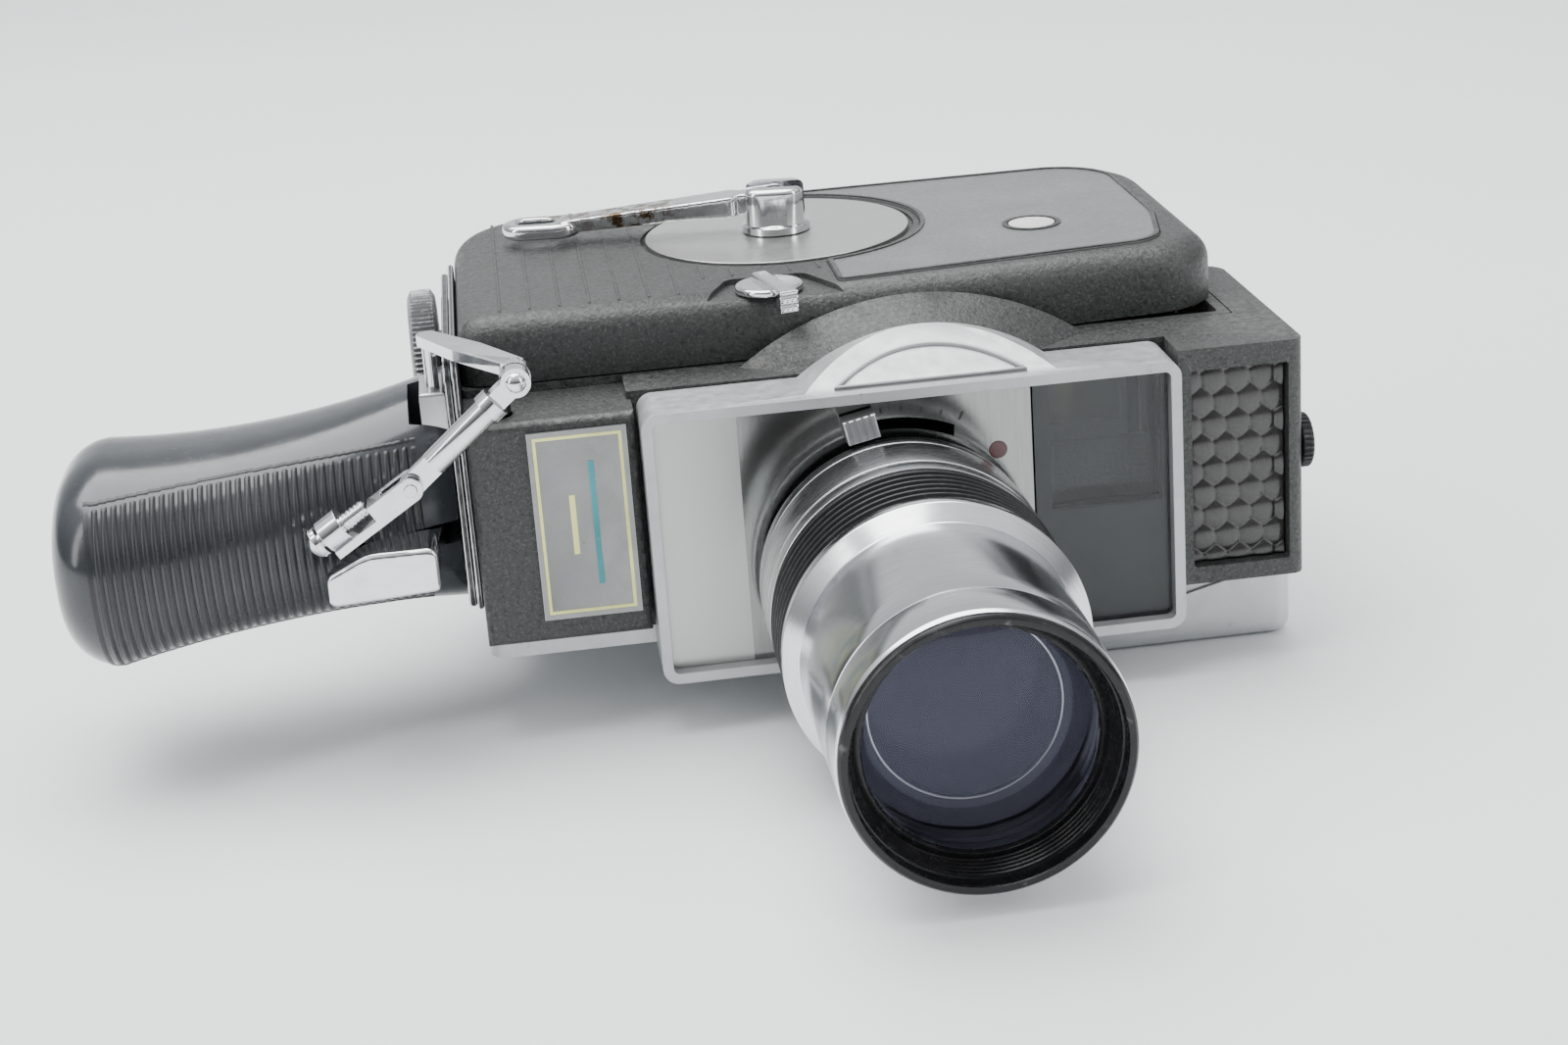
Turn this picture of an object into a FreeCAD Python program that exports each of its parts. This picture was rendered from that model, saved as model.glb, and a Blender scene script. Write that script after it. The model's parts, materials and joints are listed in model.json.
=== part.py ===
import FreeCAD, Part
import math
import os

# An electric-eye zoom cine camera with a pistol grip, lying on its film door.
# +X points to the camera's top, -Y along the lens, +Z to the crank side.
# Dimensions are in millimetres, measured from the centre of the front frame's
# front face, and every solid is moved to the resting frame as it is written.

V = FreeCAD.Vector
AXES = {"x": V(1, 0, 0), "y": V(0, 1, 0), "z": V(0, 0, 1)}

# Overall envelope
GRIP_END_X = -164.0
KNOB_END_X = 80.4
LENS_FRONT_Y = -88.0
EYEPIECE_Y = 121.0
DOOR_LOW = -38.2
DOOR_SKIN = -24.4
TO_REST = V(-(GRIP_END_X + KNOB_END_X) / 2, -(LENS_FRONT_Y + EYEPIECE_Y) / 2, -DOOR_LOW)

# Body
BODY_LEFT, BODY_RIGHT = -85.0, 69.5
BODY_FRONT, BODY_REAR = 27.0, 118.0
BODY_CORNER = 22.0
BLOCK_LOW, BLOCK_TOP = -20.5, 28.0
COVER_TOP = 41.5
WALL = 2.2
GAP = 0.3
BLOCK_RIGHT = 77.5
BLOCK_FACE = 4.5
PLATE_LOW, PLATE_TOP = 4.0, 6.0

# Front frame
FRAME_L, FRAME_W, FRAME_DEPTH = 104.0, 55.0, 15.0
FRAME_WALL = 2.1
FRAME_CORNER = 3.2
FACE_Y = 3.0
FACE_T = 0.8
WINDOW_X = 23.0

# Lens, on an axis along Y
LENS_X, LENS_Z = -4.4, -9.3
FILTER_IN = -11.5
FLANGE_R = 15.0
NECK_R = 8.6
ZOOM_R = 28.2
BARREL_R = 25.4
BORE_R = 22.6
ZOOM_FRONT, ZOOM_BACK = -38.0, -21.0
GROOVE_Y = -76.0
FILTER_R, FILTER_L = 23.0, 3.0

# Winding crank, on an axis along Z
CRANK_X, CRANK_Y = -15.6, 78.0
DISC_R = 28.2
ARM_L = 50.0
ARM_TURN = 170.0

# Selector, footage window and film speed knob
SELECTOR_X, SELECTOR_Y, SELECTOR_R = -22.6, 33.5, 6.8
FOOTAGE_X, FOOTAGE_Y = 36.5, 61.5
SPEED_Y, SPEED_Z, SPEED_R = 11.5, 5.0, 5.5

# Gear train
MODULE = 0.8
BARREL_TEETH, DRIVE_PINION, DRIVE_TEETH, CROWN_PINION = 64, 14, 44, 14

# Film path
SPOOL_R, SPOOL_H = 25.0, 14.0
FEED_X, TAKE_X, SPOOL_Y = 38.0, -46.0, 84.0
GATE_Y = 33.0

# Grip: stations along X with centre and half sizes in Y and Z
NECK_X = -88.2
CLAMP_Y, CLAMP_Z, CLAMP_R = 72.0, 22.5, 15.0
NECK_SECTION = (36.5, 7.0, 20.5, 23.0)
WAIST_SECTION = (26.5, 6.4, 23.7, 18.5)
END_SECTION = (22.0, 4.8, 27.0, 20.5)
GRIP_STEPS = 8
END_ROUND = 10.0
GRIP_WALL = 2.4
CLAMP_BORE = 3.175

# Trigger and release linkage
TRIGGER_X, TRIGGER_Y = -93.0, 22.0
TRIGGER_LOW, TRIGGER_TOP = -2.5, 8.0
ARM_X, ARM_Y, ARM_Z = -90.4, 24.0, 40.0
LINK_Y = -6.0
TOP_JOINT = V(-74.4, LINK_Y, 38.6)
LOW_JOINT = V(-95.6, LINK_Y, 20.6)
FOOT_END = V(-109.4, LINK_Y, 11.8)


def box(x0, x1, y0, y1, z0, z1):
    return Part.makeBox(x1 - x0, y1 - y0, z1 - z0, V(x0, y0, z0))


def rod(start, length, radius, axis="z"):
    return Part.makeCylinder(radius, length, start, AXES[axis])


def rod_between(a, b, radius):
    return Part.makeCylinder(radius, (b - a).Length, a, b - a)


def tube(start, length, outer, inner, axis="z"):
    return rod(start, length, outer, axis).cut(rod(start, length, inner, axis))


def rounded_outline(corners):
    """Closed wire in the XY plane through (x, y, radius) corners."""
    points = [V(x, y, 0) for x, y, _ in corners]
    count = len(points)
    edges = []
    spans = []
    for i, point in enumerate(points):
        to_last = (points[i - 1] - point).normalize()
        to_next = (points[(i + 1) % count] - point).normalize()
        radius = corners[i][2]
        if radius == 0:
            spans.append((point, point, None))
            continue
        half = to_last.getAngle(to_next) / 2
        reach = radius / math.tan(half)
        bisector = (to_last + to_next).normalize()
        middle = point + bisector * (radius / math.sin(half) - radius)
        spans.append((point + to_last * reach, point + to_next * reach, middle))
    for i, (start, end, middle) in enumerate(spans):
        if middle is not None:
            edges.append(Part.Arc(start, middle, end).toShape())
        following = spans[(i + 1) % count][0]
        if (following - end).Length > 1e-6:
            edges.append(Part.LineSegment(end, following).toShape())
    return Part.Wire(edges)


def prism(corners, z0, z1):
    face = Part.Face(rounded_outline(corners))
    face.translate(V(0, 0, z0))
    return face.extrude(V(0, 0, z1 - z0))


def front_prism(x0, x1, z0, z1, radius, y0, y1):
    """Rounded rectangle seen from the front, extruded along Y."""
    corners = [(x0, -z1, radius), (x1, -z1, radius), (x1, -z0, radius), (x0, -z0, radius)]
    shape = prism(corners, 0, y1 - y0)
    shape.rotate(V(0, 0, 0), V(1, 0, 0), -90)
    shape.translate(V(0, y0, 0))
    return shape


def edges_at(shape, test):
    return [edge for edge in shape.Edges if test(edge.BoundBox)]


def soften(shape, radius, test):
    return shape.makeFillet(radius, edges_at(shape, test))


def turned(profile, origin, axis="y"):
    """Ring turned from (distance along the axis, radius) points."""
    if axis == "y":
        points = [V(origin.x + r, origin.y + a, origin.z) for a, r in profile]
    else:
        points = [V(origin.x + r, origin.y, origin.z + a) for a, r in profile]
    wire = Part.makePolygon(points + points[:1])
    return Part.Face(wire).revolve(origin, AXES[axis], 360)


def lens_turned(profile):
    return turned(profile, V(LENS_X, 0, LENS_Z))


def gear(x, y, z0, height, teeth, bore, phase=0.0):
    """Spur gear with plain trapezoid teeth; one tooth points at the phase angle."""
    pitch = teeth * MODULE / 2
    tip = pitch + 0.7 * MODULE
    root = pitch - 1.15 * MODULE
    step = 2 * math.pi / teeth
    points = []
    for i in range(teeth):
        middle = math.radians(phase) + i * step
        for radius, share in ((root, -0.24), (tip, -0.11), (tip, 0.11), (root, 0.24)):
            angle = middle + share * step
            points.append(V(x + radius * math.cos(angle), y + radius * math.sin(angle), z0))
    wheel = Part.Face(Part.makePolygon(points + points[:1])).extrude(V(0, 0, height))
    return wheel.cut(rod(V(x, y, z0 - 1), height + 2, bore))


def lens_element(y_back, y_front, radius, bulge):
    """Biconvex glass disc on the lens axis."""
    sphere_r = (radius ** 2 + bulge ** 2) / (2 * bulge)
    blank = rod(V(LENS_X, y_front - bulge, LENS_Z), y_back - y_front + bulge, radius, "y")
    ball = Part.makeSphere(sphere_r, V(LENS_X, y_front - bulge + sphere_r, LENS_Z))
    return blank.common(ball)


def around_lens(shape, degrees):
    shape = shape.copy()
    shape.rotate(V(LENS_X, 0, LENS_Z), AXES["y"], degrees)
    return shape


# ---------------------------------------------------------------- body shells

def body_outline(inset=0.0):
    corner = BODY_CORNER - inset
    return [
        (BODY_LEFT + inset, BODY_FRONT + inset, 0.8),
        (BODY_RIGHT - inset, BODY_FRONT + inset, 0.8),
        (BODY_RIGHT - inset, BODY_REAR - inset, corner),
        (BODY_LEFT + inset, BODY_REAR - inset, corner),
    ]


def cover_outline(inset=0.0):
    corner = BODY_CORNER - inset
    return [
        (BODY_LEFT + inset, BODY_FRONT + 0.5 + inset, 5.0),
        (-24.0, BODY_FRONT + 0.5 + inset, 3.0),
        (-13.0, 24.2 + inset, 3.0),
        (BODY_RIGHT - inset, 32.0 + inset, 15.0 - inset),
        (BODY_RIGHT - inset, BODY_REAR - inset, corner),
        (BODY_LEFT + inset, BODY_REAR - inset, corner),
    ]


def door_outline(inset=0.0):
    corner = BODY_CORNER - inset
    return [
        (BODY_LEFT + inset, FRAME_DEPTH + 0.7 + inset, 4.0),
        (BLOCK_RIGHT + 1.0 - inset, FRAME_DEPTH + 0.7 + inset, 4.0),
        (BLOCK_RIGHT + 1.0 - inset, 62.0, 8.0),
        (BODY_RIGHT - inset, 80.0, 12.0),
        (BODY_RIGHT - inset, BODY_REAR - inset, corner),
        (BODY_LEFT + inset, BODY_REAR - inset, corner),
    ]


FINDER = {"x0": 27.5, "x1": 48.5, "z0": 8.5, "z1": 23.5}
FINDER_X = (FINDER["x0"] + FINDER["x1"]) / 2
FINDER_Z = (FINDER["z0"] + FINDER["z1"]) / 2


def main_housing():
    shell = prism(body_outline(), BLOCK_LOW, BLOCK_TOP)
    shell = shell.cut(prism(body_outline(WALL), BLOCK_LOW - 1, BLOCK_TOP + 1))
    tunnel = box(FINDER["x0"], FINDER["x1"], BODY_FRONT - 1, BODY_FRONT + 5, FINDER["z0"], FINDER["z1"])
    light_port = rod(V(LENS_X, BODY_FRONT - 1, LENS_Z), 5, 9.0, "y")
    eyepiece_port = rod(V(FINDER_X, BODY_REAR - 5, FINDER_Z), 7, 7.6, "y")
    hinge_slot = box(-30, 30, BODY_REAR - 0.9, BODY_REAR + 1, BLOCK_LOW - 1, BLOCK_LOW + 3.3)
    clamp_port = rod(V(BODY_LEFT - 1, CLAMP_Y, CLAMP_Z), 5, CLAMP_BORE + 0.2, "x")
    for opening in (tunnel, light_port, eyepiece_port, hinge_slot, clamp_port):
        shell = shell.cut(opening)
    return shell


def hood_section(y, centre, half_chord, top):
    low = BLOCK_TOP - 1.2
    ends = [V(centre - half_chord, y, low), V(centre + half_chord, y, low)]
    arc = Part.Arc(ends[0], V(centre, y, top), ends[1]).toShape()
    return Part.Wire([arc, Part.LineSegment(ends[1], ends[0]).toShape()])


def front_housing():
    low_block = box(BODY_LEFT, -52.8, 6.5, BODY_FRONT - 0.2, -18.5, 26.5)
    low_block = soften(low_block, 2.0, lambda b: b.YMax < 7)
    button_port = rod(V(-79.0, 14.0, 20.0), 12, 2.2).fuse(rod(V(-79.0, 14.0, 24.8), 3, 3.5))
    block = prism([
        (-53.6, FRAME_DEPTH + GAP, 0.6),
        (FRAME_L / 2 + 0.5, FRAME_DEPTH + GAP, 0),
        (FRAME_L / 2 + 0.5, BLOCK_FACE, 0),
        (BLOCK_RIGHT, BLOCK_FACE, 2.4),
        (BLOCK_RIGHT, 62.0, 5.0),
        (BODY_RIGHT + GAP, 68.0, 1.0),
        (BODY_RIGHT + GAP, BODY_FRONT - 0.2, 0),
        (-53.6, BODY_FRONT - 0.2, 0),
    ], BLOCK_LOW, BLOCK_TOP)
    hood = Part.makeLoft([
        hood_section(FRAME_DEPTH + GAP, 4.0, 25.0, 35.7),
        hood_section(23.8, 4.0, 36.0, 39.6),
    ], True, True)
    shape = block.fuse(low_block).fuse(hood)
    pockets = [
        box(BODY_LEFT + WALL, -56.0, 6.5 + WALL, BODY_FRONT + 1, -16.0, 24.0),
        box(-51.4, 50.0, FRAME_DEPTH + GAP + WALL, BODY_FRONT + 1, BLOCK_LOW + WALL, BLOCK_TOP - WALL),
        box(55.0, BLOCK_RIGHT - WALL, 8.6, 60.0, BLOCK_LOW + WALL, BLOCK_TOP - WALL),
        front_prism(55.0, 74.4, -17.0, 23.6, 0.6, BLOCK_FACE - 1, 9.0),
        rod(V(LENS_X, FRAME_DEPTH - 1, LENS_Z), 5, NECK_R + 0.3, "y"),
        box(FINDER["x0"], FINDER["x1"], FRAME_DEPTH - 1, 20, FINDER["z0"], FINDER["z1"]),
        rod(V(BLOCK_RIGHT - 3, SPEED_Y, SPEED_Z), 4, 2.05, "x"),
        button_port,
    ]
    for pocket in pockets:
        shape = shape.cut(pocket)
    return shape.removeSplitter()


def motor_cover():
    base = BLOCK_TOP + GAP
    slab = prism(cover_outline(), base, COVER_TOP)
    slab = soften(slab, 5.6, lambda b: b.ZMin > COVER_TOP - 0.01)
    slab = slab.cut(prism(cover_outline(WALL + 1.0), base - 1, COVER_TOP - 2.4))
    recess = prism([
        (SELECTOR_X - 17.0, 20.0, 0),
        (SELECTOR_X + 17.0, 20.0, 0),
        (SELECTOR_X + 7.8, SELECTOR_Y + 7.4, 2.5),
        (SELECTOR_X - 7.8, SELECTOR_Y + 7.4, 2.5),
    ], COVER_TOP - 1.2, COVER_TOP + 1)
    slab = slab.cut(recess)
    slab = slab.cut(rod(V(CRANK_X, CRANK_Y, COVER_TOP - 0.7), 2, DISC_R + 1.1))
    slab = slab.cut(side_plate_blank(COVER_TOP - 0.5, COVER_TOP + 1, 0.0))
    slab = slab.cut(rod(V(CRANK_X, CRANK_Y, base), 20, 4.6))
    slab = slab.cut(rod(V(SELECTOR_X, SELECTOR_Y, base), 20, 2.6))
    return slab.cut(rod(V(FOOTAGE_X, FOOTAGE_Y, base), 20, 4.9))


def side_plate_blank(z0, z1, inset):
    shape = prism([
        (-9.0 + inset, 30.4 + inset, 1.5),
        (58.6 - inset, 37.8 + inset, 9.0),
        (63.2 - inset, 62.0, 30.0),
        (63.2 - inset, 112.0 - inset, 15.0),
        (-9.0 + inset, 112.0 - inset, 2.0),
    ], z0, z1)
    return shape.cut(rod(V(CRANK_X, CRANK_Y, z0 - 1), z1 - z0 + 2, DISC_R + 2.4 + inset))


def side_plate():
    plate = side_plate_blank(COVER_TOP - 0.5 + 0.02, COVER_TOP + 0.3, 0.25)
    return plate.cut(rod(V(FOOTAGE_X, FOOTAGE_Y, COVER_TOP - 2), 5, 5.2))


def door_bulge_outline(inset=0.0):
    """Deep part of the door: its rear, and a nose that reaches forward at the camera's top."""
    corner = BODY_CORNER - inset
    return [
        (26.0 + inset, FRAME_DEPTH + 0.7 + inset, 6.0),
        (BLOCK_RIGHT + 1.0 - inset, FRAME_DEPTH + 0.7 + inset, 4.0),
        (BLOCK_RIGHT + 1.0 - inset, 62.0, 8.0),
        (BODY_RIGHT - inset, 80.0, 12.0),
        (BODY_RIGHT - inset, BODY_REAR - inset, corner),
        (BODY_LEFT + inset, BODY_REAR - inset, corner),
        (BODY_LEFT + inset, 66.0 + inset, 6.0),
        (-56.0 + inset, 66.0 + inset, 6.0),
        (-46.0 + inset, 44.0 + inset, 6.0),
        (10.0 + inset, 44.0 + inset, 10.0),
    ]


def film_door():
    """Shallow lid over the film chamber, with a deep bulge at its rear and top."""
    bulge = prism(door_bulge_outline(), DOOR_LOW, BLOCK_LOW - GAP)
    bulge = soften(bulge, 3.0, lambda b: b.ZMax < DOOR_LOW + 0.01)
    shell = bulge.fuse(prism(door_outline(), DOOR_SKIN, BLOCK_LOW - GAP))
    shell = shell.cut(prism(door_bulge_outline(1.6), DOOR_LOW + 1.8, BLOCK_LOW + 1))
    shell = shell.cut(prism(door_outline(1.6), DOOR_SKIN + 1.8, BLOCK_LOW + 1))
    notch = Part.Face(Part.makePolygon([
        V(44, 0, BLOCK_LOW + 1), V(68, 0, BLOCK_LOW + 1), V(66, 0, -24.6), V(44, 0, -30.0),
        V(44, 0, BLOCK_LOW + 1),
    ])).extrude(V(0, FRAME_DEPTH + 1.6, 0))
    latch_hole = rod(V(-4, 66, DOOR_LOW - 1), 4, 10.3)
    knuckles = [rod(V(x, BODY_REAR + 0.9, BLOCK_LOW - 1.0), 15.6, 1.5, "x") for x in (-27.8, 12.2)]
    shape = shell.cut(notch).cut(latch_hole)
    for knuckle in knuckles:
        leaf = box(knuckle.BoundBox.XMin, knuckle.BoundBox.XMax, BODY_REAR - 1.5, BODY_REAR + 1.2,
                   BLOCK_LOW - 4.0, BLOCK_LOW - 1.4)
        shape = shape.fuse(leaf).fuse(knuckle)
    shape = shape.cut(rod(V(-12.1, BODY_REAR + 0.9, BLOCK_LOW - 1.0), 24.2, 1.9, "x"))
    return shape.cut(rod(V(-40, BODY_REAR + 0.9, BLOCK_LOW - 1.0), 80, 0.8, "x")).removeSplitter()


def hinge_bar():
    centre = V(-12.0, BODY_REAR + 0.9, BLOCK_LOW - 1.0)
    knuckle = rod(centre, 24.0, 1.5, "x")
    leaf = box(-12.0, 12.0, BODY_REAR - 0.8, BODY_REAR + 0.8, BLOCK_LOW - 0.6, BLOCK_LOW + 3.0)
    pin = rod(V(-27.8, centre.y, centre.z), 55.6, 0.75, "x")
    return knuckle.fuse(leaf).fuse(pin).removeSplitter()


def door_latch():
    disc = rod(V(-4, 66, DOOR_LOW + 0.5), 1.2, 9.9)
    spindle = rod(V(-4, 66, DOOR_LOW + 1.6), 4.0, 3.0)
    tongue = box(-7, -1, 60, 84, DOOR_LOW + 3.6, DOOR_LOW + 5.2)
    slot = box(-12, 4, 65, 67, DOOR_LOW + 0.2, DOOR_LOW + 1.2)
    return disc.fuse(spindle).fuse(tongue).cut(slot)


# ------------------------------------------------------------- front fittings

def front_frame():
    half_l, half_w = FRAME_L / 2, FRAME_W / 2
    rim = front_prism(-half_l, half_l, -half_w, half_w, FRAME_CORNER, 0, FRAME_DEPTH)
    facet = Part.Face(Part.makePolygon([
        V(-40, 2.5, half_w - 0.4), V(-40, FRAME_DEPTH, 36.0), V(-40, FRAME_DEPTH, half_w - 1.5),
        V(-40, 2.5, half_w - 1.5), V(-40, 2.5, half_w - 0.4),
    ])).extrude(V(88, 0, 0))
    arch_r = 40.0
    arch = rod(V(4.0, 0, 35.8 - arch_r), FRAME_DEPTH, arch_r, "y")
    rim = rim.fuse(facet.common(arch))
    inner = front_prism(-half_l + FRAME_WALL, half_l - FRAME_WALL, -half_w + FRAME_WALL,
                        half_w - FRAME_WALL, 1.2, -1, FRAME_DEPTH + 1)
    return rim.cut(inner).removeSplitter()


def inside_frame(x0, x1, y0, y1):
    reach = FRAME_W / 2 - FRAME_WALL - 0.1
    return front_prism(x0, x1, -reach, reach, 1.3, y0, y1)


def face_plate():
    plate = inside_frame(-FRAME_L / 2 + FRAME_WALL + 0.1, WINDOW_X, FACE_Y, FACE_Y + FACE_T)
    plate = plate.cut(rod(V(LENS_X, 0, LENS_Z), 9, FLANGE_R + 0.3, "y"))
    ring = tube(V(LENS_X, FACE_Y - 1, LENS_Z), 3, 30.4, 28.2, "y")
    wedge = box(LENS_X - 10.2, LENS_X + 10.2, 0, 9, 10, 30)
    slot = around_lens(wedge.common(ring), 4.5)
    jewel_hole = rod(V(16.3, 0, 12.5), 9, 1.8, "y")
    return plate.cut(slot).cut(jewel_hole)


def indicator_jewel():
    return rod(V(16.3, FACE_Y - 0.2, 12.5), 1.8, 1.7, "y")


def finder_window():
    return inside_frame(WINDOW_X + 0.3, FRAME_L / 2 - FRAME_WALL - 0.1, FACE_Y - 0.4, FACE_Y + 1.0)


def window_panel():
    panel = inside_frame(WINDOW_X + 0.4, FRAME_L / 2 - FRAME_WALL - 0.2, FACE_Y + 1.1, FACE_Y + 2.0)
    return panel.cut(box(WINDOW_X + 3.6, FRAME_L / 2 - 3.4, 0, 9, -1.5, 24.2))


def finder_lens():
    frame = box(WINDOW_X + 3.0, 49.6, FACE_Y + 5.5, FACE_Y + 8.0, -2.0, 24.4)
    scoop = rod(V(37.0, FACE_Y - 18.6, -30), 90, 25.5, "z")
    return frame.cut(scoop)


def cell_cover():
    """Ribbed prism screen of hexagonal lenslets over the light cell."""
    plate = front_prism(55.2, 74.2, -16.8, 23.4, 0.5, BLOCK_FACE + 2.6, BLOCK_FACE + 3.9)
    pitch = 4.9
    cells = []
    for row in range(9):
        for column in range(5):
            x = 54.5 + column * pitch + (row % 2) * pitch / 2
            z = -18.6 + row * pitch * 0.866 * 1.2
            points = [V(x + 2.3 * math.sin(k * math.pi / 3), BLOCK_FACE + 1.9,
                        z + 2.3 * math.cos(k * math.pi / 3)) for k in range(7)]
            cells.append(Part.Face(Part.makePolygon(points)).extrude(V(0, 1.0, 0)))
    lenslets = Part.makeCompound(cells).common(
        front_prism(55.4, 74.0, -16.6, 23.2, 0.4, BLOCK_FACE, BLOCK_FACE + 3))
    return plate.fuse(lenslets.Solids)


def light_cell():
    return box(56.0, 73.4, BLOCK_FACE + 4.4, BLOCK_FACE + 5.6, -15.0, 21.6)


def nameplate():
    plate = box(-73.6, -54.6, 5.7, 6.48, -13.5, 24.4)
    return plate.cut(box(-72.6, -55.6, 5.4, 5.95, -12.5, 23.4))


def eyepiece():
    return turned([(BODY_REAR + 0.3 - 4, 5.0), (BODY_REAR + 0.3 - 4, 7.3), (BODY_REAR + 0.3, 7.3),
                   (BODY_REAR + 0.3, 9.6), (EYEPIECE_Y - 0.6, 9.6), (EYEPIECE_Y, 8.8),
                   (EYEPIECE_Y, 6.4), (EYEPIECE_Y - 1.6, 5.0)],
                  V(FINDER_X, 0, FINDER_Z))


def eye_lens():
    return rod(V(FINDER_X, BODY_REAR - 2.5, FINDER_Z), 2.2, 4.95, "y")


def speed_knob():
    start = V(BLOCK_RIGHT + 0.2, SPEED_Y, SPEED_Z)
    knob = rod(start, KNOB_END_X - start.x, SPEED_R, "x")
    for i in range(18):
        flute = rod(V(start.x - 1, SPEED_Y + SPEED_R + 0.1, SPEED_Z), 6, 0.45, "x")
        flute.rotate(start, AXES["x"], 20 * i)
        knob = knob.cut(flute)
    return knob.fuse(rod(V(start.x - 2.9, SPEED_Y, SPEED_Z), 3.2, 2.0, "x"))


def footage_window():
    return rod(V(FOOTAGE_X, FOOTAGE_Y, COVER_TOP - 0.9), 1.4, 4.8)


def selector_knob():
    top = COVER_TOP - 1.2
    disc = rod(V(SELECTOR_X, SELECTOR_Y, top + 0.3), 1.4, SELECTOR_R)
    disc = soften(disc, 0.6, lambda b: b.ZMin > top + 1.6)
    shaft = rod(V(SELECTOR_X, SELECTOR_Y, top - 4.6), 5.2, 2.5)
    bar = box(-1.7, 1.7, -11.2, 5.6, top + 1.6, top + 2.8)
    finger = box(-1.9, 1.9, -12.6, -9.6, top - 1.6, top + 2.8)
    pointer = bar.fuse(finger)
    pointer = soften(pointer, 0.5, lambda b: b.ZMin > top + 2.7 and b.YLength > 5)
    for i in range(4):
        pointer = pointer.cut(box(-3, 3, -13.4, -12.3, top - 1.2 + i * 0.9, top - 0.8 + i * 0.9))
    pointer.rotate(V(0, 0, 0), V(0, 0, 1), 12)
    pointer.translate(V(SELECTOR_X, SELECTOR_Y, 0))
    return disc.fuse(shaft).fuse(pointer)


# --------------------------------------------------------------------- lens

def lens_mount():
    return lens_turned([
        (22.0, 7.0), (22.0, NECK_R), (5.0, NECK_R), (5.0, FLANGE_R), (-0.3, FLANGE_R),
        (-0.3, 26.6), (-1.2, 27.8), (-4.6, 27.8),
        (-4.6, 26.9), (-5.2, 26.9), (-5.2, 28.0), (ZOOM_BACK + GAP, 28.0), (ZOOM_BACK + GAP, 24.0),
        (ZOOM_FRONT + 1, 24.0), (ZOOM_FRONT + 1, 23.2), (-8.0, 23.2), (-8.0, 7.0),
    ])


def zoom_ring():
    """Ridged ring between the fixed rear ring and the barrel."""
    profile = [(ZOOM_BACK, 24.05), (ZOOM_BACK, ZOOM_R - 0.6)]
    ridges = 6
    pitch = (ZOOM_BACK - ZOOM_FRONT - 1.4) / ridges
    for i in range(ridges):
        start = ZOOM_BACK - 0.6 - i * pitch
        profile += [(start, ZOOM_R - 1.1), (start - 0.5, ZOOM_R), (start - pitch + 1.0, ZOOM_R),
                    (start - pitch + 0.5, ZOOM_R - 1.1)]
    profile += [(ZOOM_FRONT + 0.4, ZOOM_R - 0.6), (ZOOM_FRONT + 0.4, 24.05)]
    return lens_turned(profile)


def lens_barrel():
    return lens_turned([
        (ZOOM_FRONT + 0.2, 23.3), (ZOOM_FRONT + 0.2, 28.2), (-41.0, 28.4), (-44.2, BARREL_R),
        (GROOVE_Y + 0.4, BARREL_R), (GROOVE_Y + 0.4, BORE_R + 0.9), (-45.0, BORE_R + 0.9),
        (-45.0, 22.0), (-39.0, 22.0), (-39.0, 23.3),
    ])


def focus_ring():
    return lens_turned([
        (-60.0, BORE_R - 1.6), (-60.0, BORE_R + 0.85), (GROOVE_Y, BORE_R + 0.85), (GROOVE_Y, BARREL_R),
        (LENS_FRONT_Y + 1.6, BARREL_R - 0.3), (LENS_FRONT_Y + 1.6, 23.9), (-79.0, 23.9),
        (-79.0, BORE_R - 1.6),
    ])


def front_rim():
    return lens_turned([
        (LENS_FRONT_Y + 1.5, 23.95), (LENS_FRONT_Y + 1.5, BARREL_R - 0.3), (LENS_FRONT_Y + 0.5, 24.9),
        (LENS_FRONT_Y, 24.5), (LENS_FRONT_Y, FILTER_R), (LENS_FRONT_Y + FILTER_L, FILTER_R),
        (-80.2, 21.2), (-79.1, 21.2), (-79.1, 23.85), (LENS_FRONT_Y + 1.5, 23.85),
    ])


def front_lens():
    return lens_element(-71.0, -76.0, BORE_R - 1.65, 2.4)


def lens_baffle():
    return lens_turned([
        (-58.6, 12.5), (-58.6, BORE_R - 0.2), (-56.6, BORE_R - 0.2), (-56.6, 12.5), (-57.0, 11.8),
    ])


def zoom_group():
    cell = lens_turned([(-34.0, 11.55), (-34.0, 21.0), (-31.0, 21.0), (-31.0, 14.0), (-26.0, 14.0),
                        (-26.0, 11.55)])
    glass = lens_element(-27.0, -33.0, 11.5, 1.6)
    return Part.makeCompound([cell, glass])


def filter_lever():
    ring = tube(V(LENS_X, 5.3, LENS_Z), 1.8, 14.5, NECK_R + 0.05, "y")
    arm = box(LENS_X - 2.5, LENS_X + 2.5, 5.3, 7.1, LENS_Z + 13.0, LENS_Z + 30.0)
    neck = box(LENS_X - 0.9, LENS_X + 0.9, 0.4, 5.5, LENS_Z + 28.6, LENS_Z + 30.0)
    knob = box(LENS_X - 3.2, LENS_X + 3.2, -2.2, 2.2, LENS_Z + 28.4, LENS_Z + 33.2)
    knob = soften(knob, 0.5, lambda b: b.YMax < -2.1)
    for i in range(4):
        start = LENS_X - 2.6 + i * 1.45
        knob = knob.cut(box(start, start + 0.6, -2.6, -1.8, LENS_Z + 28, LENS_Z + 34))
    shape = ring.fuse(arm).fuse(neck).fuse(knob)
    return around_lens(shape, FILTER_IN)


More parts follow.
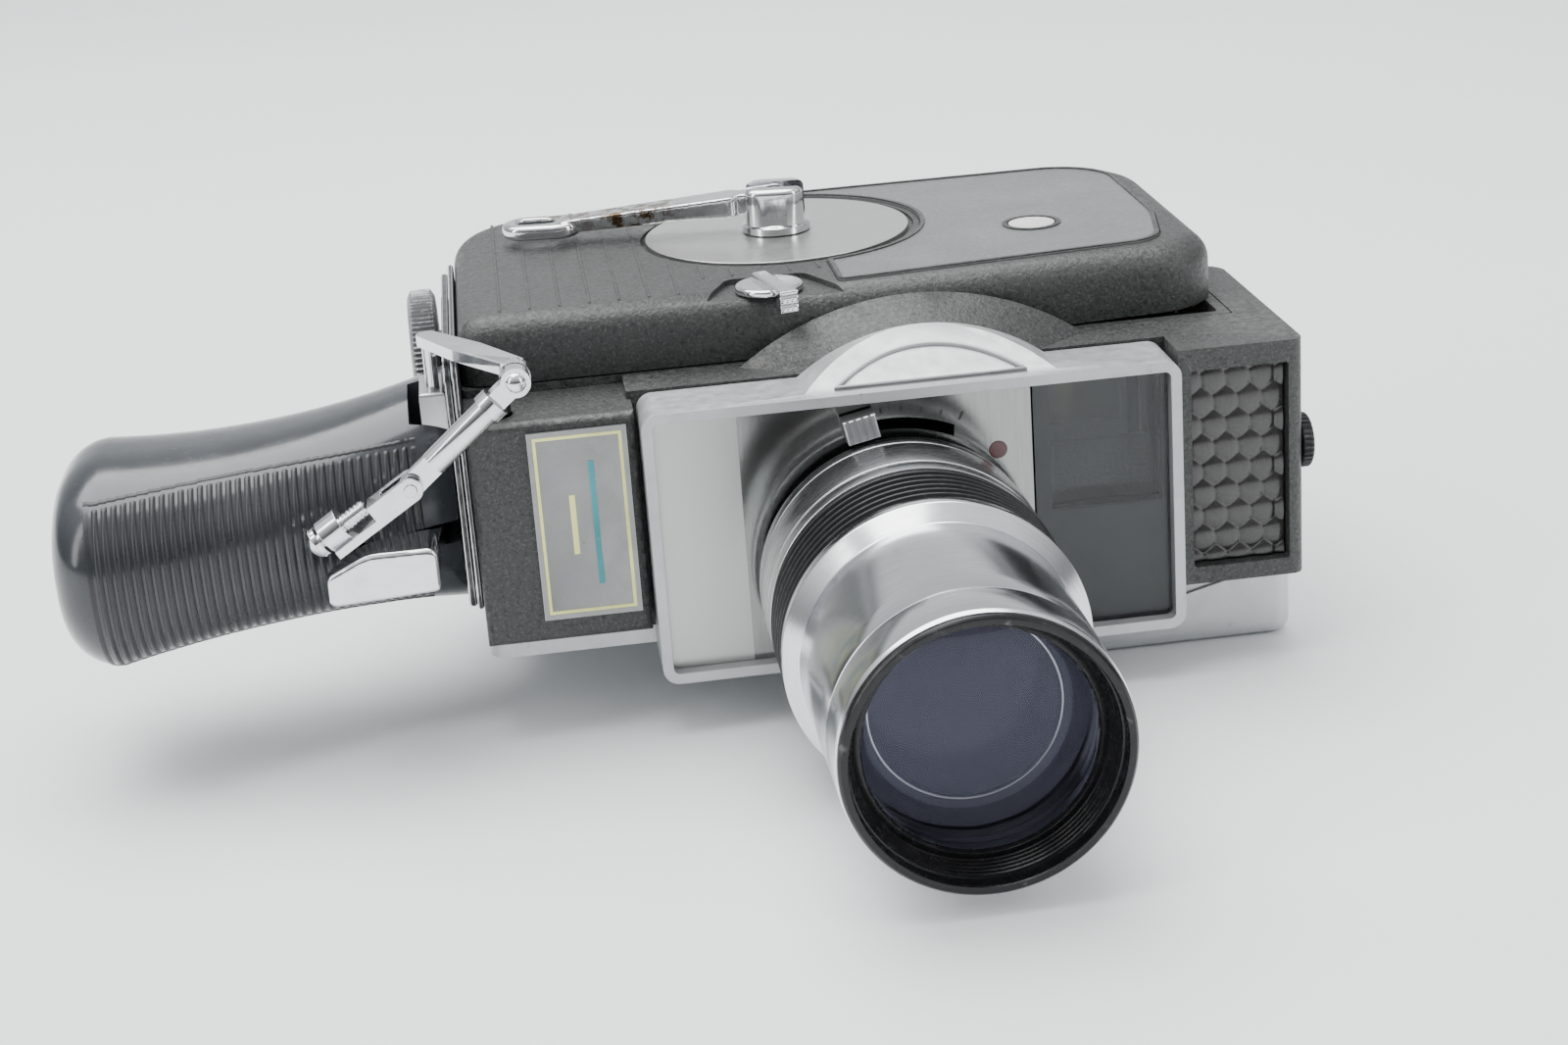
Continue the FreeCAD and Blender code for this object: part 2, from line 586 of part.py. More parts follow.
def filter_swing():
    pivot = rod(V(LENS_X + 19.5, 19.2, LENS_Z), 5.0, 2.0, "y")
    arm = box(LENS_X + 7.0, LENS_X + 19.5, 22.6, 24.0, LENS_Z - 1.6, LENS_Z + 1.6)
    holder = tube(V(LENS_X, 22.6, LENS_Z), 1.4, 8.0, 6.05, "y")
    arm = arm.cut(rod(V(LENS_X, 20, LENS_Z), 6, 7.0, "y"))
    glass = rod(V(LENS_X, 22.8, LENS_Z), 1.0, 6.0, "y")
    return Part.makeCompound([pivot.fuse(arm).fuse(holder), glass])


# ------------------------------------------------------------- winding crank

def winding_disc():
    disc = rod(V(CRANK_X, CRANK_Y, COVER_TOP - 0.66), 1.0, DISC_R)
    return disc.cut(rod(V(CRANK_X, CRANK_Y, COVER_TOP - 2), 5, 4.6))


def turned_arm(shape):
    shape = shape.copy()
    shape.rotate(V(0, 0, 0), V(0, 0, 1), ARM_TURN)
    shape.translate(V(CRANK_X, CRANK_Y, 0))
    return shape


HUB_LOW = COVER_TOP + 0.6
PIN_Z = HUB_LOW + 6.2


def crank_hub():
    ring = turned([(HUB_LOW, 0), (HUB_LOW, 7.3), (HUB_LOW + 1.4, 7.3), (HUB_LOW + 2.0, 6.4),
                   (HUB_LOW + 2.0, 0)], V(CRANK_X, CRANK_Y, 0), "z")
    head = box(-6.2, 6.2, -6.4, 6.4, HUB_LOW + 1.9, HUB_LOW + 9.6)
    head = soften(head, 3.6, lambda b: b.ZLength > 7)
    head = soften(head, 1.2, lambda b: b.ZMin > HUB_LOW + 9.5)
    slot = box(-6.6, 9.0, -2.9, 2.9, HUB_LOW + 3.2, HUB_LOW + 11)
    pin_hole = rod(V(0, -9, PIN_Z), 18, 1.32, "y")
    pin = turned_arm(rod(V(0, -6.5, PIN_Z), 13.0, 1.3, "y"))
    hub = ring.fuse(turned_arm(head.cut(slot).cut(pin_hole))).removeSplitter()
    return Part.makeCompound([hub, pin])


def crank_arm():
    """Folding arm: a lug at the pin, a tapered bar and an open loop for the finger."""
    lug = rod(V(0, -2.6, PIN_Z), 5.2, 2.8, "y")
    side = Part.Face(Part.makePolygon([
        V(0, 0, PIN_Z - 2.4), V(20, 0, PIN_Z - 2.6), V(ARM_L - 4, 0, HUB_LOW + 2.0),
        V(ARM_L - 4, 0, HUB_LOW + 4.8), V(20, 0, PIN_Z + 1.0), V(0, 0, PIN_Z + 2.7),
        V(0, 0, PIN_Z - 2.4),
    ])).extrude(V(0, 20, 0))
    side.translate(V(0, -10, 0))
    width = prism([(-1.0, -2.6, 0), (7.6, -2.6, 0), (9.0, -4.4, 2.0), (ARM_L - 3, -3.2, 1.0),
                   (ARM_L - 3, 3.2, 1.0), (9.0, 4.4, 2.0), (7.6, 2.6, 0), (-1.0, 2.6, 0)], 0, 90)
    bar = side.common(width)
    loop_low = HUB_LOW + 1.3
    loop = prism([(ARM_L - 8, -5.4, 5.3), (ARM_L + 9, -5.4, 5.3), (ARM_L + 9, 5.4, 5.3),
                  (ARM_L - 8, 5.4, 5.3)], loop_low, loop_low + 3.2)
    loop = soften(loop, 1.1, lambda b: b.ZLength < 0.01)
    hole = prism([(ARM_L - 2.5, -2.5, 2.4), (ARM_L + 6, -2.5, 2.4), (ARM_L + 6, 2.5, 2.4),
                  (ARM_L - 2.5, 2.5, 2.4)], loop_low - 1, loop_low + 8)
    shape = lug.fuse(bar).fuse(loop).cut(hole).cut(rod(V(0, -9, PIN_Z), 18, 1.36, "y"))
    return turned_arm(shape.removeSplitter())


def spring_arbor():
    return rod(V(CRANK_X, CRANK_Y, PLATE_TOP + 0.5), HUB_LOW - PLATE_TOP - 0.5, 4.0)


# ------------------------------------------------------------------ mechanism

DRIVE_DISTANCE = (BARREL_TEETH + DRIVE_PINION) * MODULE / 2
CROWN_DISTANCE = (DRIVE_TEETH + CROWN_PINION) * MODULE / 2
DRIVE_ANGLE = 235.0
DRIVE_X = CRANK_X + DRIVE_DISTANCE * math.cos(math.radians(DRIVE_ANGLE))
DRIVE_Y = CRANK_Y + DRIVE_DISTANCE * math.sin(math.radians(DRIVE_ANGLE))
CROWN_ANGLE = 352.0
CROWN_X = DRIVE_X + CROWN_DISTANCE * math.cos(math.radians(CROWN_ANGLE))
CROWN_Y = DRIVE_Y + CROWN_DISTANCE * math.sin(math.radians(CROWN_ANGLE))


def meshing_phase(angle_to_partner, teeth):
    """Phase that puts a gap, not a tooth, on the line to the partner."""
    return angle_to_partner + 180.0 / teeth


def spring_barrel():
    case = tube(V(CRANK_X, CRANK_Y, 13.2), 19.0, 25.0, 23.8)
    lids = [tube(V(CRANK_X, CRANK_Y, z), 1.2, 25.0, 4.05) for z in (12.0, 32.2)]
    teeth = gear(CRANK_X, CRANK_Y, 9.0, 3.0, BARREL_TEETH, 4.05, DRIVE_ANGLE)
    return case.fuse(lids[0]).fuse(lids[1]).fuse(teeth).removeSplitter()


def mainspring():
    """Coiled steel strip inside the barrel, clear of its wall and the arbor."""
    turns = [tube(V(CRANK_X, CRANK_Y, 13.8), 17.6, 6.6 + 2.6 * i, 5.8 + 2.6 * i) for i in range(6)]
    return Part.makeCompound(turns)


def drive_wheel():
    pinion = gear(DRIVE_X, DRIVE_Y, 8.8, 3.4, DRIVE_PINION, 1.55,
                  meshing_phase(DRIVE_ANGLE + 180, DRIVE_PINION))
    wheel = gear(DRIVE_X, DRIVE_Y, 7.0, 1.8, DRIVE_TEETH, 1.55, CROWN_ANGLE)
    return pinion.fuse(wheel)


def crown_wheel():
    pinion = gear(CROWN_X, CROWN_Y, 6.6, 2.2, CROWN_PINION, 1.55,
                  meshing_phase(CROWN_ANGLE + 180, CROWN_PINION))
    hub = tube(V(CROWN_X, CROWN_Y, 8.8), 5.0, 3.0, 1.55)
    return pinion.fuse(hub)


def mechanism_plate():
    plate = prism(body_outline(WALL + GAP), PLATE_LOW, PLATE_TOP)
    plate = plate.cut(box(LENS_X - 8, LENS_X + 22, BODY_FRONT, GATE_Y + 9, PLATE_LOW - 1, PLATE_TOP + 1))
    plate = plate.cut(rod(V(TAKE_X, SPOOL_Y, PLATE_LOW - 1), 4, 2.6))
    posts = [rod(V(x, y, PLATE_TOP), height, 1.5) for x, y, height in (
        (DRIVE_X, DRIVE_Y, 7.5), (CROWN_X, CROWN_Y, 8.5))]
    feed_post = rod(V(FEED_X, SPOOL_Y, PLATE_LOW - SPOOL_H - 3), SPOOL_H + 3, 2.4)
    for post in posts + [feed_post]:
        plate = plate.fuse(post)
    return plate


def spool(x):
    low = PLATE_LOW - 1.0 - SPOOL_H
    hub = tube(V(x, SPOOL_Y, low), SPOOL_H, 9.0, 2.5)
    flanges = [tube(V(x, SPOOL_Y, z), 0.9, SPOOL_R, 2.5) for z in (low, low + SPOOL_H - 0.9)]
    for flange in flanges:
        for k in range(3):
            angle = math.radians(120 * k + 30)
            window = rod(V(x + 16.5 * math.cos(angle), SPOOL_Y + 16.5 * math.sin(angle), low - 1),
                         SPOOL_H + 2, 5.0)
            flange = flange.cut(window)
        hub = hub.fuse(flange)
    return hub


def takeup_spool():
    """Spool on its driven shaft."""
    shaft = rod(V(TAKE_X, SPOOL_Y, PLATE_LOW - SPOOL_H - 3), SPOOL_H + 11, 2.4)
    disc = rod(V(TAKE_X, SPOOL_Y, PLATE_TOP + 0.6), 1.6, 6.0)
    return Part.makeCompound([shaft.fuse(disc), spool(TAKE_X)])


def film_gate():
    plate = box(LENS_X - 8, LENS_X + 8, GATE_Y - 1.0, GATE_Y + 0.5, BLOCK_LOW + 1.5, PLATE_LOW - 0.5)
    feet = box(LENS_X - 8, LENS_X - 5, BODY_FRONT + WALL + 0.05, GATE_Y - 0.9, BLOCK_LOW + 1.5, -16)
    plate = plate.cut(box(LENS_X - 2.3, LENS_X + 2.3, 0, 50, LENS_Z - 1.7, LENS_Z + 1.7))
    plate = plate.cut(box(LENS_X - 7.2, LENS_X + 0.4, 0, 50, LENS_Z + 3.4, LENS_Z + 4.8))
    return Part.makeCompound([plate.fuse(feet), pressure_plate()])


def pressure_plate():
    plate = box(LENS_X - 6, LENS_X + 6, GATE_Y + 0.8, GATE_Y + 1.8, BLOCK_LOW + 3.5, PLATE_LOW - 3.0)
    bracket = box(LENS_X - 4, LENS_X + 4, GATE_Y + 2.2, GATE_Y + 5.2, PLATE_LOW - 7.0, PLATE_LOW)
    return plate.fuse(bracket).fuse(box(LENS_X - 4, LENS_X + 4, GATE_Y + 1.7, GATE_Y + 2.3,
                                        PLATE_LOW - 7.0, PLATE_LOW - 3.0))


def film_claw():
    bar = box(LENS_X - 6.4, LENS_X - 4.2, GATE_Y - 3.2, GATE_Y - 1.6, LENS_Z + 3.6, LENS_Z + 24.0)
    tip = box(LENS_X - 6.4, LENS_X - 4.2, GATE_Y - 1.8, GATE_Y + 0.2, LENS_Z + 3.7, LENS_Z + 4.5)
    return bar.fuse(tip)


def shutter():
    """Half disc on a shaft beside the lens axis, turning in front of the gate."""
    centre = V(LENS_X + 13.5, 24.9, LENS_Z + 7.0)
    disc = rod(centre, 0.6, 15.4, "y")
    disc = disc.cut(box(centre.x - 20, centre.x + 20, centre.y - 1, centre.y + 2, centre.z + 3.0,
                        centre.z + 20))
    hub = rod(V(centre.x, centre.y - 0.6, centre.z), 2.4, 2.6, "y")
    return disc.fuse(hub)


def footage_dial():
    disc = rod(V(FOOTAGE_X, FOOTAGE_Y, COVER_TOP - 4.4), 1.0, 9.0)
    shaft = rod(V(FOOTAGE_X, FOOTAGE_Y, COVER_TOP - 12.4), 8.2, 1.5)
    return disc.fuse(shaft)


def meter_movement():
    case = rod(V(65.0, 18.8, 2.0), 16.0, 7.0)
    magnet = box(58.0, 72.0, 12.5, 25.0, -14.0, -2.0)
    return case.fuse(magnet).fuse(box(63.0, 67.0, 16.0, 21.0, -2.5, 2.5))


# ----------------------------------------------------------------- grip group

def bottom_plate(x0, x1, y0, y1, z1, hole_r):
    plate = soften(box(x0, x1, y0, y1, -14.0, z1), 4.0,
                   lambda b: b.YLength < 0.01 and b.ZLength < 0.01)
    return plate.cut(rod(V(x0 - 1, CLAMP_Y, CLAMP_Z), 9, hole_r, "x"))


def base_plate():
    """Plate under the body, and the threaded bush behind it."""
    plate = bottom_plate(-86.4, BODY_LEFT - 0.2, 14.0, 94.0, 38.0, CLAMP_BORE)
    bush = rod(V(BODY_LEFT + WALL + 0.1, CLAMP_Y, CLAMP_Z), 8.0, 5.2, "x")
    bush = bush.cut(rod(V(BODY_LEFT, CLAMP_Y, CLAMP_Z), 12, CLAMP_BORE, "x"))
    return Part.makeCompound([plate, bush])


def grip_bracket():
    return bottom_plate(-88.0, -86.5, 16.0, 92.0, 36.6, 3.4)


def grip_stations():
    """(x, y, z, half y, half z) from the neck through the slimmer waist to the rounded end."""
    shoulder = GRIP_END_X + END_ROUND
    stations = []
    for i in range(GRIP_STEPS + 1):
        t = i / GRIP_STEPS
        size = [neck * (1 - t) * (1 - 2 * t) + 4 * waist * t * (1 - t) + end * t * (2 * t - 1)
                for neck, waist, end in zip(NECK_SECTION, WAIST_SECTION, END_SECTION)]
        stations.append((NECK_X + (shoulder - NECK_X) * t, *size))
    for turn in (30, 55, 75):
        x = shoulder - END_ROUND * math.sin(math.radians(turn))
        shrink = END_ROUND * (1 - math.cos(math.radians(turn)))
        y, z, half_y, half_z = END_SECTION
        stations.append((x, y, z, half_y - shrink, half_z - shrink))
    y, z, half_y, half_z = END_SECTION
    stations.append((GRIP_END_X, y, z, half_y - END_ROUND - 2, half_z - END_ROUND - 2))
    return stations


def grip_section(x, y, z, half_y, half_z, inset=0.0):
    half_y = half_y - inset
    half_z = half_z - inset
    corner = 0.62 * min(half_y, half_z)
    wire = rounded_outline([
        (y - half_y, z - half_z, corner), (y + half_y, z - half_z, corner),
        (y + half_y, z + half_z, corner), (y - half_y, z + half_z, corner),
    ])
    wire.rotate(V(0, 0, 0), V(1, 1, 1), 120)
    wire.translate(V(x, 0, 0))
    return wire


def grip_body(inset, skip_end=0):
    stations = grip_stations()
    if skip_end:
        stations = stations[:-skip_end]
    wires = [grip_section(*station, inset) for station in stations]
    return Part.makeLoft(wires, True, True)


def panel_zone(grow=0.0):
    """Front strip of the grip, where the ribbed panel sits."""
    corners = [(-156.6 - grow, -30.0, 0), (-94.6 + grow, -30.0, 0), (-94.6 + grow, 23.0 + grow, 0),
               (-126.0, 13.0 + grow, 0), (-156.6 - grow, 7.0 + grow, 0)]
    return prism(corners, -30, 23.0 + grow)


def trigger_slot():
    return box(-108.0, -89.2, -10.0, 30.0, TRIGGER_LOW + 3.3, TRIGGER_TOP - 2.3)


def grip_shell():
    outer = grip_body(0.0)
    seat = outer.cut(grip_body(1.1, 4)).common(panel_zone())
    block_seat = box(-95.6, -85.0, 20.0, 34.7, 14.0, 40.0).fuse(box(-95.6, -85.0, 10.0, 20.1, 24.4, 40.0))
    return outer.cut(grip_body(GRIP_WALL, 3)).cut(seat).cut(trigger_slot()).cut(block_seat)


def grip_panel():
    """Ribbed strip inlaid in the front of the grip; its skin stands a little proud."""
    strip = grip_body(-0.35, 3).cut(grip_body(1.05, 3)).common(panel_zone(-0.15))
    return strip.cut(trigger_slot())


def grip_block():
    """Metal block that holds the arm's stem, and the trigger's pin below it."""
    block = box(-93.2, NECK_X, 20.2, 34.5, 14.2, 30.2)
    block = soften(block, 0.8, lambda b: b.ZMin > 30.1)
    trigger_pin = rod(V(TRIGGER_X, TRIGGER_Y, -5.6), 19.6, 1.5)
    return Part.makeCompound([block.cut(rod(V(ARM_X, ARM_Y, 10), 25, 1.35)), trigger_pin])


def trigger():
    """Finger plate with a web that reaches the pin inside the grip."""
    front = Part.Arc(V(-113.4, -4.4, 0), V(-103.0, -5.6, 0), V(-92.2, -6.6, 0)).toShape()
    back = Part.Arc(V(-92.2, 5.8, 0), V(-103.0, 3.6, 0), V(-113.4, -1.0, 0)).toShape()
    sides = [Part.LineSegment(V(-92.2, -6.6, 0), V(-92.2, 5.8, 0)).toShape(),
             Part.LineSegment(V(-113.4, -1.0, 0), V(-113.4, -4.4, 0)).toShape()]
    finger = Part.Face(Part.Wire([front, sides[0], back, sides[1]])).extrude(
        V(0, 0, TRIGGER_TOP - TRIGGER_LOW))
    finger.translate(V(0, 0, TRIGGER_LOW))
    outline = prism([(-113.4, TRIGGER_LOW, 1.4), (-92.2, TRIGGER_LOW + 1.9, 1.2), (-92.2, TRIGGER_TOP, 1.8),
                     (-105.5, TRIGGER_TOP - 0.4, 9.0), (-113.4, TRIGGER_TOP - 4.4, 1.6)], -10, 10)
    outline.rotate(V(0, 0, 0), AXES["x"], 90)
    finger = soften(finger.common(outline), 0.9, lambda b: b.YMax < -3.9)
    web_low, web_top = TRIGGER_LOW + 3.8, TRIGGER_TOP - 2.8
    web = prism([(-100.0, 3.0, 0), (-93.0, 3.0, 0), (-90.4, 20.0, 2.0), (-90.4, 24.6, 2.4),
                 (-95.6, 24.6, 2.4), (-97.0, 16.0, 4.0)], web_low, web_top)
    return finger.fuse(web).cut(rod(V(TRIGGER_X, TRIGGER_Y, -10), 30, 1.55)).removeSplitter()


def along(origin, direction, shape):
    """Turn a shape built along +X in the XZ plane so that it points along direction."""
    angle = math.degrees(math.atan2(-direction.z, direction.x))
    shape = shape.copy()
    shape.rotate(V(0, 0, 0), AXES["y"], angle)
    shape.translate(origin)
    return shape


def release_arm():
    """Upright stem in the grip block, and a flat arm reaching forward to the link."""
    stem = rod(V(ARM_X, ARM_Y, 15.0), ARM_Z - 15.0, 1.3)
    reach = V(TOP_JOINT.x - ARM_X, LINK_Y + 4.4 - ARM_Y, 0)
    far = reach.Length + 1.0
    bar = prism([(-2.0, -1.9, 1.8), (0.45 * far, -3.2, 6.0), (far, -2.4, 2.0), (far, 2.4, 2.0),
                 (0.45 * far, 3.2, 6.0), (-2.0, 1.9, 1.8)], -1.1, 1.1)
    bar.rotate(V(0, 0, 0), AXES["z"], math.degrees(math.atan2(reach.y, reach.x)))
    bar.translate(V(ARM_X, ARM_Y, ARM_Z))
    lug = rod(V(TOP_JOINT.x, LINK_Y + 2.4, TOP_JOINT.z), 3.6, 2.9, "y")
    bore = rod(V(TOP_JOINT.x, LINK_Y, TOP_JOINT.z), 8, 1.25, "y")
    return stem.fuse(bar).fuse(lug).cut(bore).removeSplitter()


def link_sleeve():
    """Eye, collar, round sleeve and flat tongue, in line from the arm to the foot."""
    direction = LOW_JOINT - TOP_JOINT
    length = direction.Length
    eye = rod(V(0, -1.6, 0), 3.6, 2.8, "y")
    neck = box(1.0, 6.0, -1.6, 2.0, -1.9, 1.9)
    collar = rod(V(5.2, 0, 0), 2.4, 3.1, "x")
    sleeve = rod(V(6.0, 0, 0), length - 12.0, 2.45, "x")
    tongue = box(length - 7.0, length, -1.1, 1.1, -2.2, 2.2)
    tip = rod(V(length, -1.1, 0), 2.2, 2.2, "y")
    bores = [rod(V(0, -5, 0), 10, 1.2, "y"), rod(V(length, -5, 0), 10, 1.25, "y")]
    shape = eye.fuse(neck).fuse(collar).fuse(sleeve).fuse(tongue).fuse(tip)
    for bore in bores:
        shape = shape.cut(bore)
    return Part.makeCompound([along(TOP_JOINT, direction, shape.removeSplitter()), sleeve_rivet()])


def sleeve_rivet():
    stem = rod(V(TOP_JOINT.x, LINK_Y - 1.7, TOP_JOINT.z), 8.2, 1.18, "y")
    dome = Part.makeSphere(2.2, V(TOP_JOINT.x, LINK_Y - 0.75, TOP_JOINT.z))
    dome = dome.common(box(-90, -60, LINK_Y - 4, LINK_Y - 1.65, 30, 45))
    return stem.fuse(dome).removeSplitter()


FOOT_LIFT = 3.1


def link_foot():
    """Fork on the sleeve's tongue, a strap, and the threaded boss at its end."""
    direction = FOOT_END - LOW_JOINT
    length = direction.Length
    ears = [box(0, 7.0, y, y + 1.6, -2.3, 2.3).fuse(rod(V(0, y, 0), 1.6, 2.3, "y")) for y in (-3.0, 1.4)]
    bridge = box(5.4, 8.6, -3.0, 3.0, -2.3, 2.3)
    strap = box(8.0, length + 2.0, -3.0, 3.0, -2.3, -0.7)
    boss = rod(V(length - 2.2, 0, FOOT_LIFT - 1.0), 4.4, 3.3, "x")
    shape = bridge.fuse(strap).fuse(boss)
    for ear in ears:
        shape = shape.fuse(ear)
    shape = shape.cut(rod(V(length - 6, 0, FOOT_LIFT - 1.0), 12, 1.65, "x"))
    shape = shape.cut(rod(V(0, -9, 0), 18, 1.2, "y"))
    foot = along(LOW_JOINT, direction, mirrored_up(shape.removeSplitter()))
    return Part.makeCompound([foot, foot_pin()])


def mirrored_up(shape):
    """Swap up and down, for shapes that are turned past vertical."""
    return shape.mirror(V(0, 0, 0), AXES["z"])


def foot_pin():
    return rod(V(LOW_JOINT.x, LINK_Y - 3.3, LOW_JOINT.z), 6.6, 1.18, "y")


def thumb_screw():
    direction = FOOT_END - LOW_JOINT
    length = direction.Length
    centre_z = FOOT_LIFT - 1.0
    stem = rod(V(length - 7.4, 0, centre_z), 10.4, 1.4, "x")
    threads = [rod(V(length - 7.0 + 0.9 * i, 0, centre_z), 0.45, 1.6, "x") for i in range(5)]
    head = rod(V(length + 2.9, 0, centre_z), 1.2, 3.0, "x")
    dome = Part.makeSphere(3.4, V(length + 2.5, 0, centre_z)).common(
        box(length + 3.9, length + 9, -5, 5, -5, 9))
    shape = stem.fuse(head).fuse(dome)
    for thread in threads:
        shape = shape.fuse(thread)
    return along(LOW_JOINT, direction, mirrored_up(shape.removeSplitter()))


def release_button():
    cap = rod(V(-79.0, 14.0, 26.8), 2.6, 3.2)
    cap = soften(cap, 0.6, lambda b: b.ZMin > 29.3)
    return cap.fuse(rod(V(-79.0, 14.0, 19.0), 8.0, 2.0))


def case_screws():
    """Two slotted screws that hold the grip's bracket."""
    screws = []
    for y, z in ((24.0, -6.0), (82.0, -6.0)):
        head = rod(V(-88.9, y, z), 0.85, 2.6, "x").cut(box(-89.2, -88.6, y - 4, y + 4, z - 0.35, z + 0.35))
        screws.append(head)
    return Part.makeCompound(screws)


def clamp_screw():
    head = rod(V(-95.2, CLAMP_Y, CLAMP_Z), 5.8, CLAMP_R, "x")
    collar = rod(V(-89.6, CLAMP_Y, CLAMP_Z), 1.4, 6.0, "x")
    knurls = []
    for i in range(48):
        cutter = rod(V(-96, CLAMP_Y + CLAMP_R + 0.15, CLAMP_Z), 8, 0.5, "x")
        cutter.rotate(V(0, CLAMP_Y, CLAMP_Z), AXES["x"], 7.5 * i)
        knurls.append(cutter)
    head = head.cut(Part.makeCompound(knurls))
    stem = rod(V(-90, CLAMP_Y, CLAMP_Z), 16.0, CLAMP_BORE - 0.06, "x")
    return head.fuse(collar).fuse(stem)


def write(name, shape):
    placed = shape.copy()
    placed.translate(TO_REST)
    placed.exportStep("parts/" + name + ".step")


NODES = {
    "main_housing": main_housing,
    "front_housing": front_housing,
    "motor_cover": motor_cover,
    "side_plate": side_plate,
    "film_door": film_door,
    "hinge_bar": hinge_bar,
    "door_latch": door_latch,
    "front_frame": front_frame,
    "face_plate": face_plate,
    "indicator_jewel": indicator_jewel,
    "finder_window": finder_window,
    "window_panel": window_panel,
    "finder_lens": finder_lens,
    "cell_cover": cell_cover,
    "light_cell": light_cell,
    "nameplate": nameplate,
    "eyepiece": eyepiece,
    "eye_lens": eye_lens,
    "speed_knob": speed_knob,
    "footage_window": footage_window,
    "footage_dial": footage_dial,
    "selector_knob": selector_knob,
    "lens_mount": lens_mount,
    "zoom_ring": zoom_ring,
    "lens_barrel": lens_barrel,
    "focus_ring": focus_ring,
    "front_rim": front_rim,
    "front_lens": front_lens,
    "lens_baffle": lens_baffle,
    "zoom_group": zoom_group,
    "filter_lever": filter_lever,
    "filter_swing": filter_swing,
    "winding_disc": winding_disc,
    "crank_hub": crank_hub,
    "crank_arm": crank_arm,
    "spring_arbor": spring_arbor,
    "spring_barrel": spring_barrel,
    "mainspring": mainspring,
    "drive_wheel": drive_wheel,
    "crown_wheel": crown_wheel,
    "mechanism_plate": mechanism_plate,
    "feed_spool": lambda: spool(FEED_X),
    "takeup_spool": takeup_spool,
    "film_gate": film_gate,
    "film_claw": film_claw,
    "shutter": shutter,
    "meter_movement": meter_movement,
    "base_plate": base_plate,
    "grip_bracket": grip_bracket,
    "grip_shell": grip_shell,
    "grip_panel": grip_panel,
    "grip_block": grip_block,
    "clamp_screw": clamp_screw,
    "trigger": trigger,
    "release_arm": release_arm,
    "link_sleeve": link_sleeve,
    "link_foot": link_foot,
    "thumb_screw": thumb_screw,
    "release_button": release_button,
    "case_screws": case_screws,
}


def main():
    os.makedirs("parts", exist_ok=True)
    for name, make in NODES.items():
        write(name, make())


main()
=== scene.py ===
import bmesh
import bpy
import json
import math
from mathutils import Matrix, Vector

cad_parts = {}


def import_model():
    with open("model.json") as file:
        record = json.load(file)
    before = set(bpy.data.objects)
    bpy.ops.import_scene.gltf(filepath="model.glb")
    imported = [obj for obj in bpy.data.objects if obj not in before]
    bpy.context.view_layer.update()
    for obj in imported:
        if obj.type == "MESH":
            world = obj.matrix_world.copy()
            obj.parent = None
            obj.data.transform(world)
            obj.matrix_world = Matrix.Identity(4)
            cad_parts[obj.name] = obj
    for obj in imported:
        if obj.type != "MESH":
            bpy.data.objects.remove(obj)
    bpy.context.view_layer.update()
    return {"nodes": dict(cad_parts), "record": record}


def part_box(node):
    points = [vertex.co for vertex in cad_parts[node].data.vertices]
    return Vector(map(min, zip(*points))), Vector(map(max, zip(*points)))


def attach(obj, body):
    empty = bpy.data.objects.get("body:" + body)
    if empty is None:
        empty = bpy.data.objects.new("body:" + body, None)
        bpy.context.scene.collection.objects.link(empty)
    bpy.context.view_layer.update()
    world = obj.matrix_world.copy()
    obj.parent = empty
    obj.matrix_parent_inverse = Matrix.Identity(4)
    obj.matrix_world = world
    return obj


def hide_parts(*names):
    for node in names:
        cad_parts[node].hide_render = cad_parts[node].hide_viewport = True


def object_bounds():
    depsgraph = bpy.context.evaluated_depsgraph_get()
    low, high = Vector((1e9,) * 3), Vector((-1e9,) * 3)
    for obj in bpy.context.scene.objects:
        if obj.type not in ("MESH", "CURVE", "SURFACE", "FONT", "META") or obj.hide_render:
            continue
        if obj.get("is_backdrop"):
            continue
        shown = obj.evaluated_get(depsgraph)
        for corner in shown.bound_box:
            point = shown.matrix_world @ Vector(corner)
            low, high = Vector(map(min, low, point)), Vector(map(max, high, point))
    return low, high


# A spring-wound zoom cine camera with a pistol grip, lying on its film door.
# Metres, in the CAD frame: +X to the camera's top, -Y out of the lens, +Z to the crank side.

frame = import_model()

MM = 0.001
NODES = frame["nodes"]
RECORD = frame["record"]
SLOT_OF = {part["node"]: part["material_slot"] for part in RECORD["subparts"]}
BODY_OF = {node: body for body, nodes in RECORD["behaviour"]["bodies"].items() for node in nodes}


def box(node):
    """Lowest and highest corner of a CAD node, in millimetres."""
    low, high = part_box(node)
    return low / MM, high / MM


def middle(node):
    low, high = box(node)
    return (low + high) / 2


FRAME_LOW, FRAME_HIGH = box("front_frame")
PLATE_LOW, PLATE_HIGH = box("face_plate")
LENS = middle("front_lens")
DISC = middle("winding_disc")
COVER_LOW, COVER_HIGH = box("motor_cover")
LENS_ORIGIN_Y = FRAME_LOW.y
PRINT_WIDTH = 16.0


# ------------------------------------------------------------------ materials

